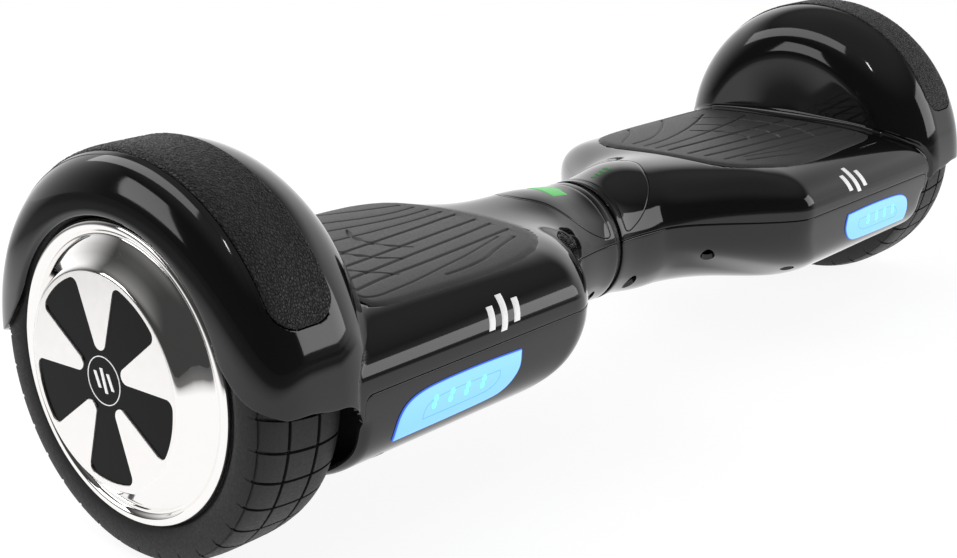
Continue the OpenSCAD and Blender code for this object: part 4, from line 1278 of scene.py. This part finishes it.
world = bpy.data.worlds.new("studio")
bpy.context.scene.world = world
world.use_nodes = True
nt = world.node_tree
for n in list(nt.nodes):
    nt.nodes.remove(n)
wo = nt.nodes.new("ShaderNodeOutputWorld")
bg = nt.nodes.new("ShaderNodeBackground")
bgc = nt.nodes.new("ShaderNodeBackground")
mix = nt.nodes.new("ShaderNodeMixShader")
lp = nt.nodes.new("ShaderNodeLightPath")
tc = nt.nodes.new("ShaderNodeTexCoord")
sp = nt.nodes.new("ShaderNodeSeparateXYZ")
nt.links.new(tc.outputs["Generated"], sp.inputs[0])
dt = nt.nodes.new("ShaderNodeVectorMath")
dt.operation = "DOT_PRODUCT"
dt.inputs[1].default_value = (0.824, 0.566, 0.0)
nt.links.new(tc.outputs["Generated"], dt.inputs[0])


def mrange(src, a, b_, c, d):
    m = nt.nodes.new("ShaderNodeMapRange")
    m.interpolation_type = "SMOOTHSTEP"
    for k, v in (("From Min", a), ("From Max", b_), ("To Min", c), ("To Max", d)):
        m.inputs[k].default_value = v
    nt.links.new(src, m.inputs["Value"])
    return m.outputs[0]


def maths(op, a, b_):
    m = nt.nodes.new("ShaderNodeMath")
    m.operation = op
    for k, v in enumerate((a, b_)):
        if isinstance(v, float):
            m.inputs[k].default_value = v
        else:
            nt.links.new(v, m.inputs[k])
    return m.outputs[0]


# bright low sky behind the object, a darker one beside the near wheel, a soft dome above
back = maths("MULTIPLY", mrange(dt.outputs["Value"], -0.15, 0.75, 0.0, 1.35), mrange(sp.outputs["Z"], 0.38, 0.75, 1.0, 0.0))
dome = mrange(sp.outputs["Z"], 0.45, 0.9, 0.05, 0.30)
low = mrange(sp.outputs["Z"], -0.25, -0.05, 0.9, 0.0)
level = maths("MAXIMUM", maths("MAXIMUM", back, dome), low)
cmb = nt.nodes.new("ShaderNodeCombineColor")
for k in range(3):
    nt.links.new(level, cmb.inputs[k])
nt.links.new(cmb.outputs[0], bg.inputs[0])
nt.links.new(lp.outputs["Is Camera Ray"], mix.inputs[0])
nt.links.new(bg.outputs[0], mix.inputs[1])
nt.links.new(bgc.outputs[0], mix.inputs[2])
nt.links.new(mix.outputs[0], wo.inputs[0])
bg.inputs[1].default_value = 1.0
bgc.inputs[0].default_value = (1, 1, 1, 1)
bgc.inputs[1].default_value = 1.0
bpy.context.scene.view_settings.view_transform = "Standard"


def softbox(name, loc, target, sx, sy, radiance):
    o = emitter(name, loc, target, sx, sy, radiance * math.pi * sx * sy)
    o.visible_camera = False


softbox("box_right_front", (1.29, -1.53, 0.66), (-0.1, -0.05, 0.08), 0.95, 0.95, 2.9)
softbox("card_side", (-1.39, 0.92, 0.60), (0.1, 0, 0.1), 0.55, 0.62, 2.4)
softbox("spot_strip", (-0.80, -0.65, 1.51), (-0.27, -0.06, 0.14), 0.05, 0.22, 30.0)
# long overhead box from the far side across to the near wheel's side
C = Vector((-0.62, 0.78, 1.28))
zc = (C - Vector((0, 0, 0.1))).normalized()
xc = Vector((-0.41, -0.83, 0.37))
xc = (xc - zc * xc.dot(zc)).normalized()
yc = zc.cross(xc)
o = emitter("box_over", C, (0, 0, 0.1), 1.9, 0.5, 2.5 * math.pi * 1.9 * 0.5)
o.matrix_world = Matrix(((xc.x, yc.x, zc.x, C.x), (xc.y, yc.y, zc.y, C.y), (xc.z, yc.z, zc.z, C.z), (0, 0, 0, 1)))
o.visible_camera = False

cam = bpy.data.cameras.new("camera")
cob = bpy.data.objects.new("camera", cam)
bpy.context.scene.collection.objects.link(cob)
CP = np.array([-0.669918, -0.576174, 0.329872])
fw = Vector((0.80356, 0.54228, -0.24539)).normalized()
rt = Vector((0.56121, -0.82762, 0.00881)).normalized()
up = rt.cross(fw).normalized()
rt = fw.cross(up).normalized()
R3 = Matrix(((rt.x, up.x, -fw.x), (rt.y, up.y, -fw.y), (rt.z, up.z, -fw.z)))
cob.matrix_world = Matrix.Translation(Vector(CP)) @ R3.to_4x4()
cam.sensor_width = 36.0
cam.lens = 62.75
cam.clip_start, cam.clip_end = 0.01, 50
# the lens shift belongs to the photograph's view only: other views move the camera and look straight on
for prop, val in (("shift_x", -0.2955), ("shift_y", -0.0995)):
    dr = cam.driver_add(prop).driver
    dr.type = "SCRIPTED"
    for nm_, ax, ref in (("a", "LOC_X", CP[0]), ("b", "LOC_Y", CP[1]), ("c", "LOC_Z", CP[2])):
        v = dr.variables.new()
        v.name = nm_
        v.type = "TRANSFORMS"
        v.targets[0].id = cob
        v.targets[0].transform_type = ax
        v.targets[0].transform_space = "WORLD_SPACE"
    dr.expression = "%.5f if abs(a-(%.6f))<0.002 and abs(b-(%.6f))<0.002 and abs(c-(%.6f))<0.002 else 0" % (val, CP[0], CP[1], CP[2])
bpy.context.scene.camera = cob
bpy.context.view_layer.update()
